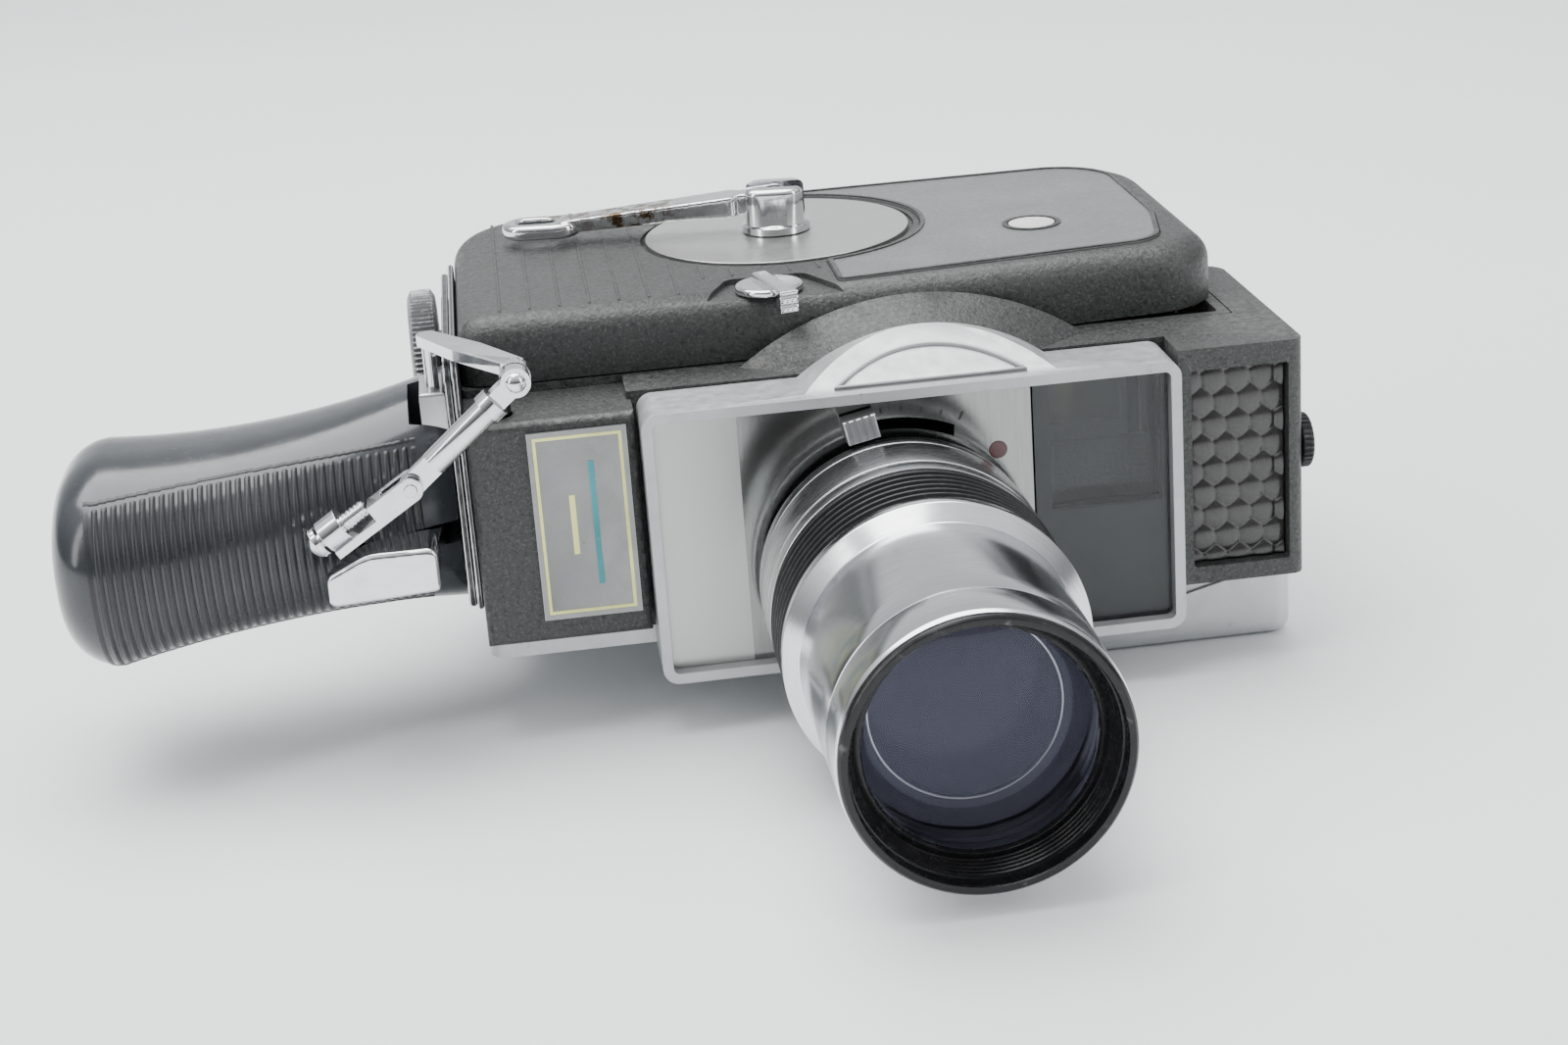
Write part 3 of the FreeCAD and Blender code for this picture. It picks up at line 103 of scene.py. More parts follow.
class Surface:
    """A principled material with procedural layers in object space."""

    def __init__(self, name, colour, metallic=0.0, roughness=0.5):
        self.material = bpy.data.materials.new(name)
        self.material.use_nodes = True
        self.tree = self.material.node_tree
        self.shader = self.tree.nodes["Principled BSDF"]
        self.coordinates = self.add("ShaderNodeTexCoord").outputs["Object"]
        self.colour = None
        self.height = None
        self.base = (*colour, 1.0)
        self.set("Base Color", self.base)
        self.set("Metallic", metallic)
        self.set("Roughness", roughness)

    def add(self, kind, **properties):
        node = self.tree.nodes.new(kind)
        for key, value in properties.items():
            setattr(node, key, value)
        return node

    def link(self, source, target):
        self.tree.links.new(source, target)

    def set(self, socket, value):
        self.shader.inputs[socket].default_value = value
        return self

    def stretched(self, stretch, shift=(0, 0, 0)):
        mapping = self.add("ShaderNodeMapping")
        mapping.inputs["Scale"].default_value = stretch
        mapping.inputs["Location"].default_value = shift
        self.link(self.coordinates, mapping.inputs["Vector"])
        return mapping.outputs["Vector"]

    def noise(self, size_mm, detail=3.0, rough=0.55, stretch=(1, 1, 1), shift=(0, 0, 0)):
        """Noise whose features are about size_mm across."""
        node = self.add("ShaderNodeTexNoise")
        node.inputs["Scale"].default_value = 1.0 / (size_mm * MM)
        node.inputs["Detail"].default_value = detail
        node.inputs["Roughness"].default_value = rough
        self.link(self.stretched(stretch, shift), node.inputs["Vector"])
        return node.outputs["Fac"]

    def span(self, value, low, high, to_low=0.0, to_high=1.0):
        node = self.add("ShaderNodeMapRange")
        for key, number in (("From Min", low), ("From Max", high), ("To Min", to_low), ("To Max", to_high)):
            node.inputs[key].default_value = number
        self.link(value, node.inputs["Value"])
        return node.outputs["Result"]

    def times(self, first, second):
        node = self.add("ShaderNodeMath", operation="MULTIPLY")
        self.link(first, node.inputs[0])
        self.link(second, node.inputs[1])
        return node.outputs["Value"]

    def tint(self, mask, colour):
        """Lay a colour over the base where the mask is 1."""
        mix = self.add("ShaderNodeMix", data_type="RGBA")
        mix.inputs["A"].default_value = self.base
        if self.colour:
            self.link(self.colour, mix.inputs["A"])
        mix.inputs["B"].default_value = (*colour, 1.0)
        self.link(mask, mix.inputs["Factor"])
        self.colour = mix.outputs["Result"]
        self.link(self.colour, self.shader.inputs["Base Color"])
        return self

    def rough(self, value, low, high):
        self.link(self.span(value, 0.3, 0.7, low, high), self.shader.inputs["Roughness"])
        return self

    def bump(self, value, depth_mm, strength=1.0):
        node = self.add("ShaderNodeBump")
        node.inputs["Strength"].default_value = strength
        node.inputs["Distance"].default_value = depth_mm * MM
        self.link(value, node.inputs["Height"])
        if self.height:
            self.link(self.height, node.inputs["Normal"])
        self.height = node.outputs["Normal"]
        self.link(self.height, self.shader.inputs["Normal"])
        return self

    def near(self, centre_mm, reach_mm, soft=0.5):
        """Mask that is 1 near a place in the row frame and fades out over reach_mm."""
        node = self.add("ShaderNodeVectorMath", operation="DISTANCE")
        node.inputs[1].default_value = [value * MM for value in centre_mm]
        self.link(self.coordinates, node.inputs[0])
        return self.span(node.outputs["Value"], reach_mm * soft * MM, reach_mm * MM, 1.0, 0.0)

    def beyond(self, axis, place_mm, side):
        """Mask that is 1 on one side of a plane across the axis; side is 1 above it, or -1 below."""
        split = self.add("ShaderNodeSeparateXYZ")
        self.link(self.coordinates, split.inputs[0])
        return self.span(split.outputs[axis], (place_mm - 0.05 * side) * MM, (place_mm + 0.05 * side) * MM)

    def edges(self, colour, low=0.53, high=0.60):
        """Paint worn to a lighter colour along convex edges."""
        node = self.add("ShaderNodeNewGeometry")
        wear = self.span(node.outputs["Pointiness"], low, high)
        patchy = self.span(self.noise(2.2, 4.0), 0.45, 0.6)
        return self.tint(self.times(wear, patchy), colour)


def enamel():
    """Dark grey wrinkle paint."""
    look = Surface("wrinkle_enamel", (0.036, 0.038, 0.038), 0.15, 0.42)
    look.tint(look.span(look.noise(28, 3), 0.35, 0.7), (0.050, 0.052, 0.051))
    look.tint(look.span(look.noise(0.55, 3, 0.6), 0.50, 0.68), (0.082, 0.084, 0.082))
    look.tint(look.span(look.noise(0.9, 3, shift=(3, 1, 0)), 0.52, 0.70), (0.020, 0.021, 0.021))
    look.rough(look.noise(1.0, 3), 0.34, 0.56)
    look.bump(look.noise(0.95, 3.0, 0.6), 0.34, 0.6)
    look.bump(look.noise(0.40, 2.0), 0.10, 0.6)
    return look.edges((0.10, 0.10, 0.095), 0.56, 0.68)


def side_enamel():
    """Light grey hammered paint."""
    look = Surface("hammered_enamel", (0.175, 0.180, 0.183), 0.35, 0.38)
    look.tint(look.span(look.noise(16, 3), 0.4, 0.7), (0.21, 0.215, 0.217))
    look.tint(look.span(look.noise(0.9, 4, 0.7), 0.55, 0.7), (0.30, 0.305, 0.306))
    look.rough(look.noise(1.4, 3), 0.30, 0.50)
    return look.bump(look.noise(1.5, 2.5), 0.22, 0.45)


def silver_paint(name, colour, grain):
    look = Surface(name, colour, 0.55, 0.40)
    look.tint(look.span(look.noise(22, 4), 0.42, 0.72), tuple(0.86 * c for c in colour))
    look.tint(look.span(look.noise(0.5, 3), 0.6, 0.75), tuple(min(1.0, 1.15 * c) for c in colour))
    look.tint(look.span(look.noise(6, 6, 0.7, shift=(7, 2, 5)), 0.66, 0.72), (0.20, 0.19, 0.18))
    look.rough(look.noise(3.0, 4), 0.30, 0.48)
    return look.bump(look.noise(grain, 3), 0.07, 0.5)


def brushed(name, colour, stretch, roughness=(0.17, 0.34), metallic=1.0):
    """Metal with a fine directional grain; the stretch is small along the grain."""
    look = Surface(name, colour, metallic, 0.25)
    grain = look.noise(0.22, 4, 0.6, stretch)
    look.tint(look.span(grain, 0.30, 0.75), tuple(0.86 * c for c in colour))
    look.tint(look.span(look.noise(9, 5, 0.7), 0.62, 0.72), tuple(0.78 * c for c in colour))
    look.rough(grain, *roughness)
    return look.bump(grain, 0.006, 0.3)


def face_look():
    """Bright rolled plate with an upright grain, and a paler printed band at its lower end."""
    look = Surface("brushed_face", (0.30, 0.305, 0.30), 1.0, 0.2)
    grain = look.noise(0.20, 4, 0.6, (1, 1, 0.02))
    look.tint(look.span(grain, 0.30, 0.75), (0.24, 0.245, 0.24))
    look.tint(look.span(look.noise(14, 4, 0.7, shift=(1, 5, 2)), 0.55, 0.70), (0.29, 0.285, 0.26))
    band = look.beyond("X", PLATE_LOW.x + PRINT_WIDTH, -1)
    look.tint(band, (0.47, 0.475, 0.465))
    scratches = look.span(look.noise(0.6, 5, 0.8, (0.04, 1, 1)), 0.70, 0.74)
    look.tint(scratches, (0.20, 0.20, 0.195))
    look.link(look.span(band, 0.0, 1.0, 0.13, 0.34), look.shader.inputs["Roughness"])
    return look.bump(grain, 0.005, 0.3)


def turned_metal(name, colour, roughness, anisotropic):
    """Lathe-turned metal on the lens axis."""
    look = Surface(name, colour, 1.0, roughness)
    look.set("Anisotropic", anisotropic)
    tangent = look.add("ShaderNodeTangent", direction_type="RADIAL", axis="Y")
    look.link(tangent.outputs["Tangent"], look.shader.inputs["Tangent"])
    grain = look.noise(0.22, 3, 0.6, (0.03, 1, 0.03))
    look.tint(look.span(grain, 0.40, 0.72), tuple(0.84 * c for c in colour))
    look.tint(look.span(look.noise(5, 7, 0.75), 0.64, 0.72), tuple(0.66 * c for c in colour))
    look.rough(grain, roughness * 0.8, roughness * 1.25)
    return look.bump(look.noise(2.5, 5, 0.7), 0.015, 0.3)


def chrome(name, stains=()):
    look = Surface(name, (0.80, 0.805, 0.82), 1.0, 0.08)
    look.tint(look.span(look.noise(7, 5, 0.7), 0.5, 0.72), (0.66, 0.67, 0.69))
    for centre, reach in stains:
        blotch = look.span(look.noise(2.6, 6, 0.75), 0.46, 0.56)
        look.tint(look.times(look.near(centre, reach), blotch), (0.16, 0.095, 0.05))
    pits = look.span(look.noise(0.7, 3, 0.7, shift=(2, 9, 4)), 0.68, 0.74)
    look.tint(pits, (0.30, 0.26, 0.22))
    look.rough(look.noise(3.5, 6, 0.7), 0.05, 0.20)
    return look.bump(look.noise(4.0, 3), 0.03, 0.25)


def dark_metal(name, colour, roughness):
    look = Surface(name, colour, 0.3, roughness)
    look.tint(look.span(look.noise(1.6, 5, 0.7), 0.58, 0.72), tuple(c * 2.4 + 0.01 for c in colour))
    look.rough(look.noise(2.0, 4), roughness * 0.8, roughness * 1.3)
    look.bump(look.noise(0.4, 3), 0.02, 0.4)
    return look.edges(tuple(c * 3 + 0.05 for c in colour))


def plastic(name, colour, roughness, stains=(), coat=0.0):
    look = Surface(name, colour, 0.0, roughness)
    look.set("Coat Weight", coat)
    look.set("Coat Roughness", 0.12)
    look.tint(look.span(look.noise(18, 4), 0.4, 0.7), tuple(c * 1.45 for c in colour))
    scuffs = look.span(look.noise(0.8, 6, 0.75, (1, 0.25, 1)), 0.62, 0.74)
    look.tint(scuffs, tuple(c * 2.2 + 0.01 for c in colour))
    for centre, reach in stains:
        blotch = look.span(look.noise(2.4, 6, 0.75), 0.46, 0.58)
        look.tint(look.times(look.near(centre, reach), blotch), (0.085, 0.055, 0.03))
    look.rough(look.noise(3.0, 6, 0.7), roughness * 0.75, roughness * 1.5)
    return look.bump(look.noise(1.1, 4), 0.03, 0.35)


def glass(name, colour, roughness=0.0, transmission=1.0, index=1.5, shine=(1.0, 1.0, 1.0)):
    """Clear glass; shine is the colour of its coating's reflection."""
    look = Surface(name, colour, 0.0, roughness)
    look.set("Transmission Weight", transmission)
    look.set("IOR", index)
    return look.set("Specular Tint", (*shine, 1.0))


def lens_core():
    """Deep brown glass, with a painted reflection of its violet coating that makes its lower half darker and
    bluer.
    """
    look = Surface("coated_glass", (0.034, 0.033, 0.030), 0.0, 0.12)
    look.set("IOR", 1.3)
    look.set("Specular Tint", (0.7, 0.7, 1.0, 1.0))
    split = look.add("ShaderNodeSeparateXYZ")
    look.link(look.coordinates, split.inputs[0])
    # Painted reflection: the lower half of the glass is tinted a darker violet-blue to stand for the
    # coating's reflection.
    painted_reflection_lower = look.span(split.outputs["Z"], (LENS.z + 5.0) * MM, (LENS.z - 6.0) * MM)
    return look.tint(painted_reflection_lower, (0.020, 0.021, 0.030))


def lens_cone():
    """Blackened cell wall whose colour is tinted violet-blue as a painted reflection of the lens coating."""
    # Painted reflection: the violet-blue in this base colour stands in for the coating mirrored in the wall.
    look = Surface("cell_wall_painted_reflection", (0.020, 0.022, 0.034), 0.0, 0.30)
    return look.tint(look.span(look.noise(9, 3), 0.45, 0.7), (0.015, 0.017, 0.026))


LOOKS = {}


def make_looks():
    arm_low, arm_high = box("crank_arm")
    arm_middle = (arm_low + arm_high) / 2
    grip_low, grip_high = box("grip_shell")
    arm_stains = [((arm_middle.x - 2, arm_middle.y, arm_middle.z + 1), 13),
                  ((arm_low.x + 16, arm_middle.y + 5, arm_middle.z), 9)]
    grip_stains = [((grip_low.x + 20, grip_high.y - 20, grip_high.z), 6.5),
                   ((grip_low.x + 33, grip_high.y - 17, grip_high.z), 8.5)]
    LOOKS.update({
        "enamel": enamel(),
        "side_enamel": side_enamel(),
        "frame_silver": silver_paint("frame_silver", (0.52, 0.53, 0.54), 0.5),
        "door_silver": silver_paint("door_silver", (0.60, 0.61, 0.62), 0.8),
        "face_metal": face_look(),
        "disc_metal": brushed("brushed_disc", (0.70, 0.70, 0.685), (0.03, 1, 1), (0.25, 0.40)),
        "satin": brushed("satin_metal", (0.62, 0.625, 0.63), (1, 0.05, 1), (0.26, 0.42)),
        "ring_metal": turned_metal("turned_ring", (0.62, 0.63, 0.64), 0.26, 0.5),
        "barrel_metal": turned_metal("turned_barrel", (0.80, 0.81, 0.83), 0.17, 0.65),
        "chrome": chrome("chrome"),
        "chrome_worn": chrome("chrome_worn", arm_stains),
        "knurl": dark_metal("knurled_metal", (0.22, 0.225, 0.23), 0.34),
        "black": dark_metal("black_metal", (0.012, 0.012, 0.013), 0.32),
        "rim_black": dark_metal("rim_black", (0.008, 0.008, 0.009), 0.24),
        "black_matt": dark_metal("black_matt", (0.006, 0.006, 0.006), 0.6),
        "panel_grey": plastic("printed_panel", (0.13, 0.135, 0.14), 0.35),
        "plate_print": silver_paint("printed_plate", (0.33, 0.335, 0.335), 0.5),
        "yellow_line": plastic("yellow_line", (0.78, 0.78, 0.30), 0.4),
        "dark_ink": plastic("dark_ink", (0.02, 0.02, 0.022), 0.5),
        "cell_plastic": plastic("cell_plastic", (0.026, 0.0245, 0.024), 0.24, coat=0.4),
        "cell": plastic("cell", (0.03, 0.028, 0.026), 0.6),
        "grip_gloss": plastic("grip_gloss", (0.022, 0.025, 0.030), 0.20, grip_stains, 0.35),
        "grip_ribbed": plastic("grip_ribbed", (0.017, 0.018, 0.019), 0.30),
        "dial": plastic("dial", (0.75, 0.75, 0.72), 0.5),
        "jewel": glass("jewel", (0.13, 0.045, 0.050), 0.12, 0.25),
        "glass": glass("clear_glass", (0.92, 0.94, 0.96)),
        "front_glass": glass("front_glass", (0.80, 0.80, 0.84), index=1.38, shine=(0.72, 0.74, 1.0)),
        "window_glass": glass("window_glass", (0.42, 0.44, 0.45), index=1.4),
        "lens_cone": lens_cone(),
        "teal_line": plastic("teal_line", (0.045, 0.27, 0.31), 0.4),
        "dark_plate": dark_metal("dark_plate", (0.030, 0.031, 0.032), 0.35),
        "footage_glass": plastic("footage_glass", (0.62, 0.62, 0.60), 0.22, coat=0.4),
        "lens_core": lens_core(),
        "steel": brushed("machined_steel", (0.50, 0.50, 0.51), (1, 1, 0.1), (0.25, 0.45)),
        "brass": brushed("machined_brass", (0.62, 0.45, 0.17), (1, 1, 0.1), (0.2, 0.4)),
    })


make_looks()

LOOK_OF_SLOT = {
    "body_enamel": "enamel", "side_enamel": "side_enamel", "frame_paint": "frame_silver",
    "door_metal": "door_silver", "face_metal": "face_metal", "satin_metal": "satin",
    "polished_metal": "barrel_metal", "chrome": "chrome", "knurled_metal": "knurl",
    "black_metal": "black", "glass": "glass", "jewel": "jewel", "cell_plastic": "cell_plastic",
    "cell": "cell", "plate_print": "plate_print", "dial": "dial", "grip_gloss": "grip_gloss",
    "grip_ribbed": "grip_ribbed", "steel": "steel", "brass": "brass",
}
LOOK_OF_NODE = {
    "winding_disc": "disc_metal", "window_panel": "panel_grey", "lens_mount": "ring_metal",
    "front_lens": "front_glass", "footage_window": "footage_glass", "crank_arm": "chrome_worn",
    "lens_baffle": "black_matt", "zoom_group": "lens_core", "finder_window": "window_glass",
    "base_plate": "dark_plate", "grip_bracket": "dark_plate", "front_rim": "rim_black",
}


def look_of(node):
    return LOOKS[LOOK_OF_NODE.get(node, LOOK_OF_SLOT[SLOT_OF[node]])].material


# --------------------------------------------------------------- mesh helpers

def piece(name, bm, look, body, replaced=(), angle=32.0):
    """A finished mesh object on a body; bm is in millimetres in the row frame."""
    mesh = bpy.data.meshes.new(name)
    bmesh.ops.recalc_face_normals(bm, faces=bm.faces[:])
    bm.to_mesh(mesh)
    bm.free()
    mesh.transform(Matrix.Scale(MM, 4))
    mesh.materials.append(LOOKS[look].material if isinstance(look, str) else look)
    for polygon in mesh.polygons:
        polygon.use_smooth = True
    mesh.set_sharp_from_angle(angle=math.radians(angle))
    obj = bpy.data.objects.new(name, mesh)
    bpy.context.scene.collection.objects.link(obj)
    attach(obj, body)
    if replaced:
        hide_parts(*replaced)
    return obj


def for_node(node, bm, look=None, angle=32.0):
    """A piece that stands for one CAD node."""
    return piece(node + "_shape", bm, look or look_of(node), BODY_OF[node], (node,), angle)


def node_bmesh(node):
    bm = bmesh.new()
    bm.from_mesh(NODES[node].data)
    bmesh.ops.transform(bm, matrix=Matrix.Scale(1 / MM, 4), verts=bm.verts[:])
    bmesh.ops.remove_doubles(bm, verts=bm.verts[:], dist=0.0005)
    bmesh.ops.dissolve_limit(bm, angle_limit=math.radians(1.0), verts=bm.verts[:], edges=bm.edges[:])
    return bm


def eased_edges(node, width_mm, look=None, segments=2, edge_look=None):
    """The CAD node's own shape with its sharp edges rounded, in another finish if one is named."""
    obj = for_node(node, node_bmesh(node), look)
    bevel = obj.modifiers.new("eased_edges", "BEVEL")
    bevel.width = width_mm * MM
    bevel.segments = segments
    bevel.limit_method = "ANGLE"
    bevel.angle_limit = math.radians(38)
    bevel.use_clamp_overlap = True
    bevel.harden_normals = True
    if edge_look:
        obj.data.materials.append(LOOKS[edge_look].material)
        bevel.material = 1
    return obj


def cast(node, voxel_mm, rounds, look=None):
    """The CAD node's shape with the soft rounded edges of a polished casting."""
    obj = for_node(node, node_bmesh(node), look, 180.0)
    remesh = obj.modifiers.new("skin", "REMESH")
    remesh.mode = "VOXEL"
    remesh.voxel_size = voxel_mm * MM
    remesh.use_smooth_shade = True
    smooth = obj.modifiers.new("soften", "SMOOTH")
    smooth.factor = 0.5
    smooth.iterations = rounds
    bake_modifiers(obj)
    return obj


def bake_modifiers(obj):
    """Replace the mesh with its evaluated form and drop the modifiers."""
    graph = bpy.context.evaluated_depsgraph_get()
    mesh = bpy.data.meshes.new_from_object(obj.evaluated_get(graph))
    obj.modifiers.clear()
    obj.data = mesh


def ring_of(bm, points):
    return [bm.verts.new(point) for point in points]


def bridge(bm, first, second, closed=True):
    count = len(first)
    for i in range(count if closed else count - 1):
        j = (i + 1) % count
        bm.faces.new((first[i], first[j], second[j], second[i]))


def lathe(profile, centre, axis="y", steps=160, wobble=None):
    """Closed ring turned from (distance along the axis, radius) points in mm."""
    bm = bmesh.new()
    rings = []
    for along, radius in profile:
        points = []
        for i in range(steps):
            turn = 2 * math.pi * i / steps
            reach = radius + (wobble(along, radius, turn) if wobble else 0.0)
            side, up = reach * math.cos(turn), reach * math.sin(turn)
            if axis == "y":
                points.append((centre.x + side, along, centre.z + up))
            elif axis == "z":
                points.append((centre.x + side, centre.y + up, along))
            else:
                points.append((along, centre.y + side, centre.z + up))
        rings.append(ring_of(bm, points))
    for i, ring in enumerate(rings):
        bridge(bm, ring, rings[(i + 1) % len(rings)])
    return bm


def rounded(profile, radius, steps=3):
    """The profile with each corner cut back by radius and turned into a small arc."""
    result = []
    count = len(profile)
    for i in range(count):
        before, here, after = (Vector(profile[i - 1]), Vector(profile[i]), Vector(profile[(i + 1) % count]))
        reach = min(radius, 0.4 * (before - here).length, 0.4 * (after - here).length)
        start = here + (before - here).normalized() * reach
        end = here + (after - here).normalized() * reach
        for k in range(steps + 1):
            t = k / steps
            point = start * (1 - t) ** 2 + here * 2 * t * (1 - t) + end * t ** 2
            result.append((point.x, point.y))
    return result


def box_bm(bm, x0, x1, y0, y1, z0, z1):
    """Add a closed box with corners given in mm."""
    corners = [bm.verts.new((x, y, z)) for z in (z0, z1) for x, y in ((x0, y0), (x1, y0), (x1, y1), (x0, y1))]
    for face in ((0, 1, 2, 3), (4, 5, 6, 7), (0, 1, 5, 4), (1, 2, 6, 5), (2, 3, 7, 6), (3, 0, 4, 7)):
        bm.faces.new([corners[k] for k in face])


# ------------------------------------------------------------------------ lens

def lens_pieces():
    mount_low, mount_high = box("lens_mount")
    zoom_low, zoom_high = box("zoom_ring")
    barrel_low, barrel_high = box("lens_barrel")
    focus_low, focus_high = box("focus_ring")
    rim_low, rim_high = box("front_rim")
    mount_r = (mount_high.x - mount_low.x) / 2
    zoom_r = (zoom_high.x - zoom_low.x) / 2
    flare_r = (barrel_high.x - barrel_low.x) / 2
    barrel_r = (focus_high.x - focus_low.x) / 2
    rim_r = (rim_high.x - rim_low.x) / 2
    plate_y = PLATE_LOW.y

    back = plate_y - 3.3
    boss = [(plate_y + 1.0, 13.0), (plate_y + 1.0, 14.9), (back, 14.9), (back, mount_r - 1.4),
            (back - 0.9, mount_r - 0.2), (back - 4.2, mount_r - 0.2), (back - 4.3, mount_r - 1.1),
            (back - 5.0, mount_r - 1.1), (back - 5.1, mount_r), (zoom_high.y + 4.6, mount_r),
            (zoom_high.y + 4.5, mount_r - 0.5), (zoom_high.y + 4.1, mount_r - 0.5),
            (zoom_high.y + 4.0, mount_r), (zoom_high.y + 0.3, mount_r), (zoom_high.y + 0.3, 24.0),
            (zoom_low.y + 1.0, 24.0), (zoom_low.y + 1.0, 23.3), (back - 6.0, 23.3), (back - 6.0, 13.0)]
    for_node("lens_mount", lathe(rounded(boss, 0.22), LENS))

    ridges = 6
    pitch = (zoom_high.y - zoom_low.y - 1.6) / ridges
    profile = [(zoom_high.y, 24.1), (zoom_high.y, zoom_r - 0.7)]
    for i in range(ridges):
        start = zoom_high.y - 0.8 - i * pitch
        profile += [(start, zoom_r - 1.5), (start - 0.30 * pitch, zoom_r - 0.05),
                    (start - 0.56 * pitch, zoom_r - 0.05), (start - 0.76 * pitch, zoom_r - 1.5)]
    profile += [(zoom_low.y, zoom_r - 0.7), (zoom_low.y, 24.1)]
    for_node("zoom_ring", lathe(rounded(profile, 0.22), LENS, steps=192))

    front = barrel_low.y
    bevel_back, bevel_front = barrel_high.y - 3.2, barrel_high.y - 6.4
    barrel = [(barrel_high.y, 23.3), (barrel_high.y, flare_r - 0.2), (bevel_back, flare_r),
              (bevel_front, barrel_r + 0.05), (bevel_front - 6.0, barrel_r), (front + 6.0, barrel_r),
              (front, barrel_r - 0.1), (front, barrel_r - 1.8), (-45.0 + LENS_ORIGIN_Y, barrel_r - 1.8),
              (-45.0 + LENS_ORIGIN_Y, 22.0), (barrel_high.y - 0.6, 22.0)]
    for_node("lens_barrel", lathe(rounded(barrel, 0.25), LENS, steps=224))

    focus = [(front + 14.0, barrel_r - 4.4), (front + 14.0, barrel_r - 1.95),
             (front - 0.35, barrel_r - 1.95), (front - 0.35, barrel_r), (focus_low.y + 1.0, barrel_r - 0.05),
             (focus_low.y, barrel_r - 0.5), (focus_low.y, barrel_r - 1.5),
             (focus_low.y + 7.0, barrel_r - 1.5), (focus_low.y + 7.0, barrel_r - 4.4)]
    for_node("focus_ring", lathe(rounded(focus, 0.2), LENS, steps=224))

    bore = rim_r - 1.9
    rim = [(rim_low.y + 1.5, rim_r), (rim_low.y + 0.6, rim_r - 0.1), (rim_low.y, rim_r - 0.6),
           (rim_low.y, bore + 0.2), (rim_low.y + 0.4, bore), (rim_low.y + 3.0, bore),
           (rim_low.y + 3.0, bore - 0.3)]
    steps = 6
    for i in range(1, steps + 1):
        depth = rim_low.y + 3.0 + 5.0 * i / steps
        radius = bore - 0.3 - 1.6 * i / steps
        rim += [(depth - 0.35, radius + 0.27), (depth, radius)]
    rim += [(rim_high.y, 21.2), (rim_high.y, bore + 0.6), (rim_low.y + 1.5, bore + 0.8)]
    for_node("front_rim", lathe(rounded(rim, 0.08, 2), LENS, steps=192))
    glass_pieces()


def dome(centre_y, radius, bulge, thickness, steps=96):
    """Lens element, convex to the front, as a closed lathe form."""
    bm = bmesh.new()
    sphere = (radius ** 2 + bulge ** 2) / (2 * bulge)
    front = []
    for k in range(1, 13):
        r = radius * k / 12
        front.append((centre_y + sphere - math.sqrt(sphere ** 2 - r ** 2) - bulge, r))
    rings = []
    for along, r in front + [(centre_y + thickness, radius)]:
        rings.append(ring_of(bm, [(LENS.x + r * math.cos(2 * math.pi * i / steps), along,
                                   LENS.z + r * math.sin(2 * math.pi * i / steps)) for i in range(steps)]))
    for first, second in zip(rings, rings[1:]):
        bridge(bm, first, second)
    tip = bm.verts.new((LENS.x, centre_y - bulge, LENS.z))
    back = bm.verts.new((LENS.x, centre_y + thickness, LENS.z))
    for i in range(steps):
        bm.faces.new((tip, rings[0][i], rings[0][(i + 1) % steps]))
        bm.faces.new((back, rings[-1][(i + 1) % steps], rings[-1][i]))
    return bm


def glass_pieces():
    low, high = box("front_lens")
    rim_low = box("front_rim")[0]
    radius = (high.x - low.x) / 2
    for_node("front_lens", dome(low.y + 2.4, radius, 2.4, 2.2))
    cell_y = high.y + 0.6
    inner = 0.72 * radius
    cone = [(cell_y, radius + 0.5), (cell_y, radius - 0.4), (cell_y + 5.0, inner + 1.4),
            (cell_y + 5.4, inner + 1.0), (cell_y + 6.4, inner + 0.6), (cell_y + 6.4, radius + 0.5)]
    body = BODY_OF["front_lens"]
    piece("lens_cell", lathe(rounded(cone, 0.1, 2), LENS, steps=128), "lens_cone", body)
    edge = [(cell_y + 4.6, inner + 0.9), (cell_y + 4.6, inner + 1.15), (cell_y + 5.2, inner + 1.3),
            (cell_y + 5.2, inner + 0.9)]
    piece("cell_edge", lathe(edge, LENS, steps=128), "satin", body)
    lip_y = rim_low.y + 7.2
    lip = [(lip_y, radius + 1.0), (lip_y - 0.4, radius - 0.5), (lip_y + 0.6, radius - 0.9),
           (lip_y + 1.2, radius + 1.0)]
    piece("glass_retainer", lathe(rounded(lip, 0.08, 2), LENS, steps=128), "rim_black", body)
    piece("inner_element", dome(cell_y + 5.9, inner + 0.8, 2.0, 0.8), "lens_core", body, angle=60)


# ------------------------------------------------------------------------ grip

GRIP_LOW, GRIP_HIGH = box("grip_shell")
NECK_SECTION = (20.0, 45.2, 20.5, 23.0)
WAIST_SECTION = (10.0, 44.6, 23.7, 18.5)
END_SECTION = (5.5, 43.0, 27.0, 20.5)
END_ROUND = 10.0
RIB_PITCH = 1.75
BLOCK_SEAT_Z = 52.2
BLOCK_NOTCH_Z = 62.6
SEAT_GAP = 1.2
NOTCH_REACH = 12.0
ABOVE_GRIP = 80.0


def grip_size(x):
    """(centre y, centre z, half y, half z) of the grip at x, before its end rounds off."""
    shoulder = GRIP_LOW.x + END_ROUND
    t = min(1.0, max(0.0, (GRIP_HIGH.x - x) / (GRIP_HIGH.x - shoulder)))
    return [neck * (1 - t) * (1 - 2 * t) + 4 * waist * t * (1 - t) + end * t * (2 * t - 1)
            for neck, waist, end in zip(NECK_SECTION, WAIST_SECTION, END_SECTION)]


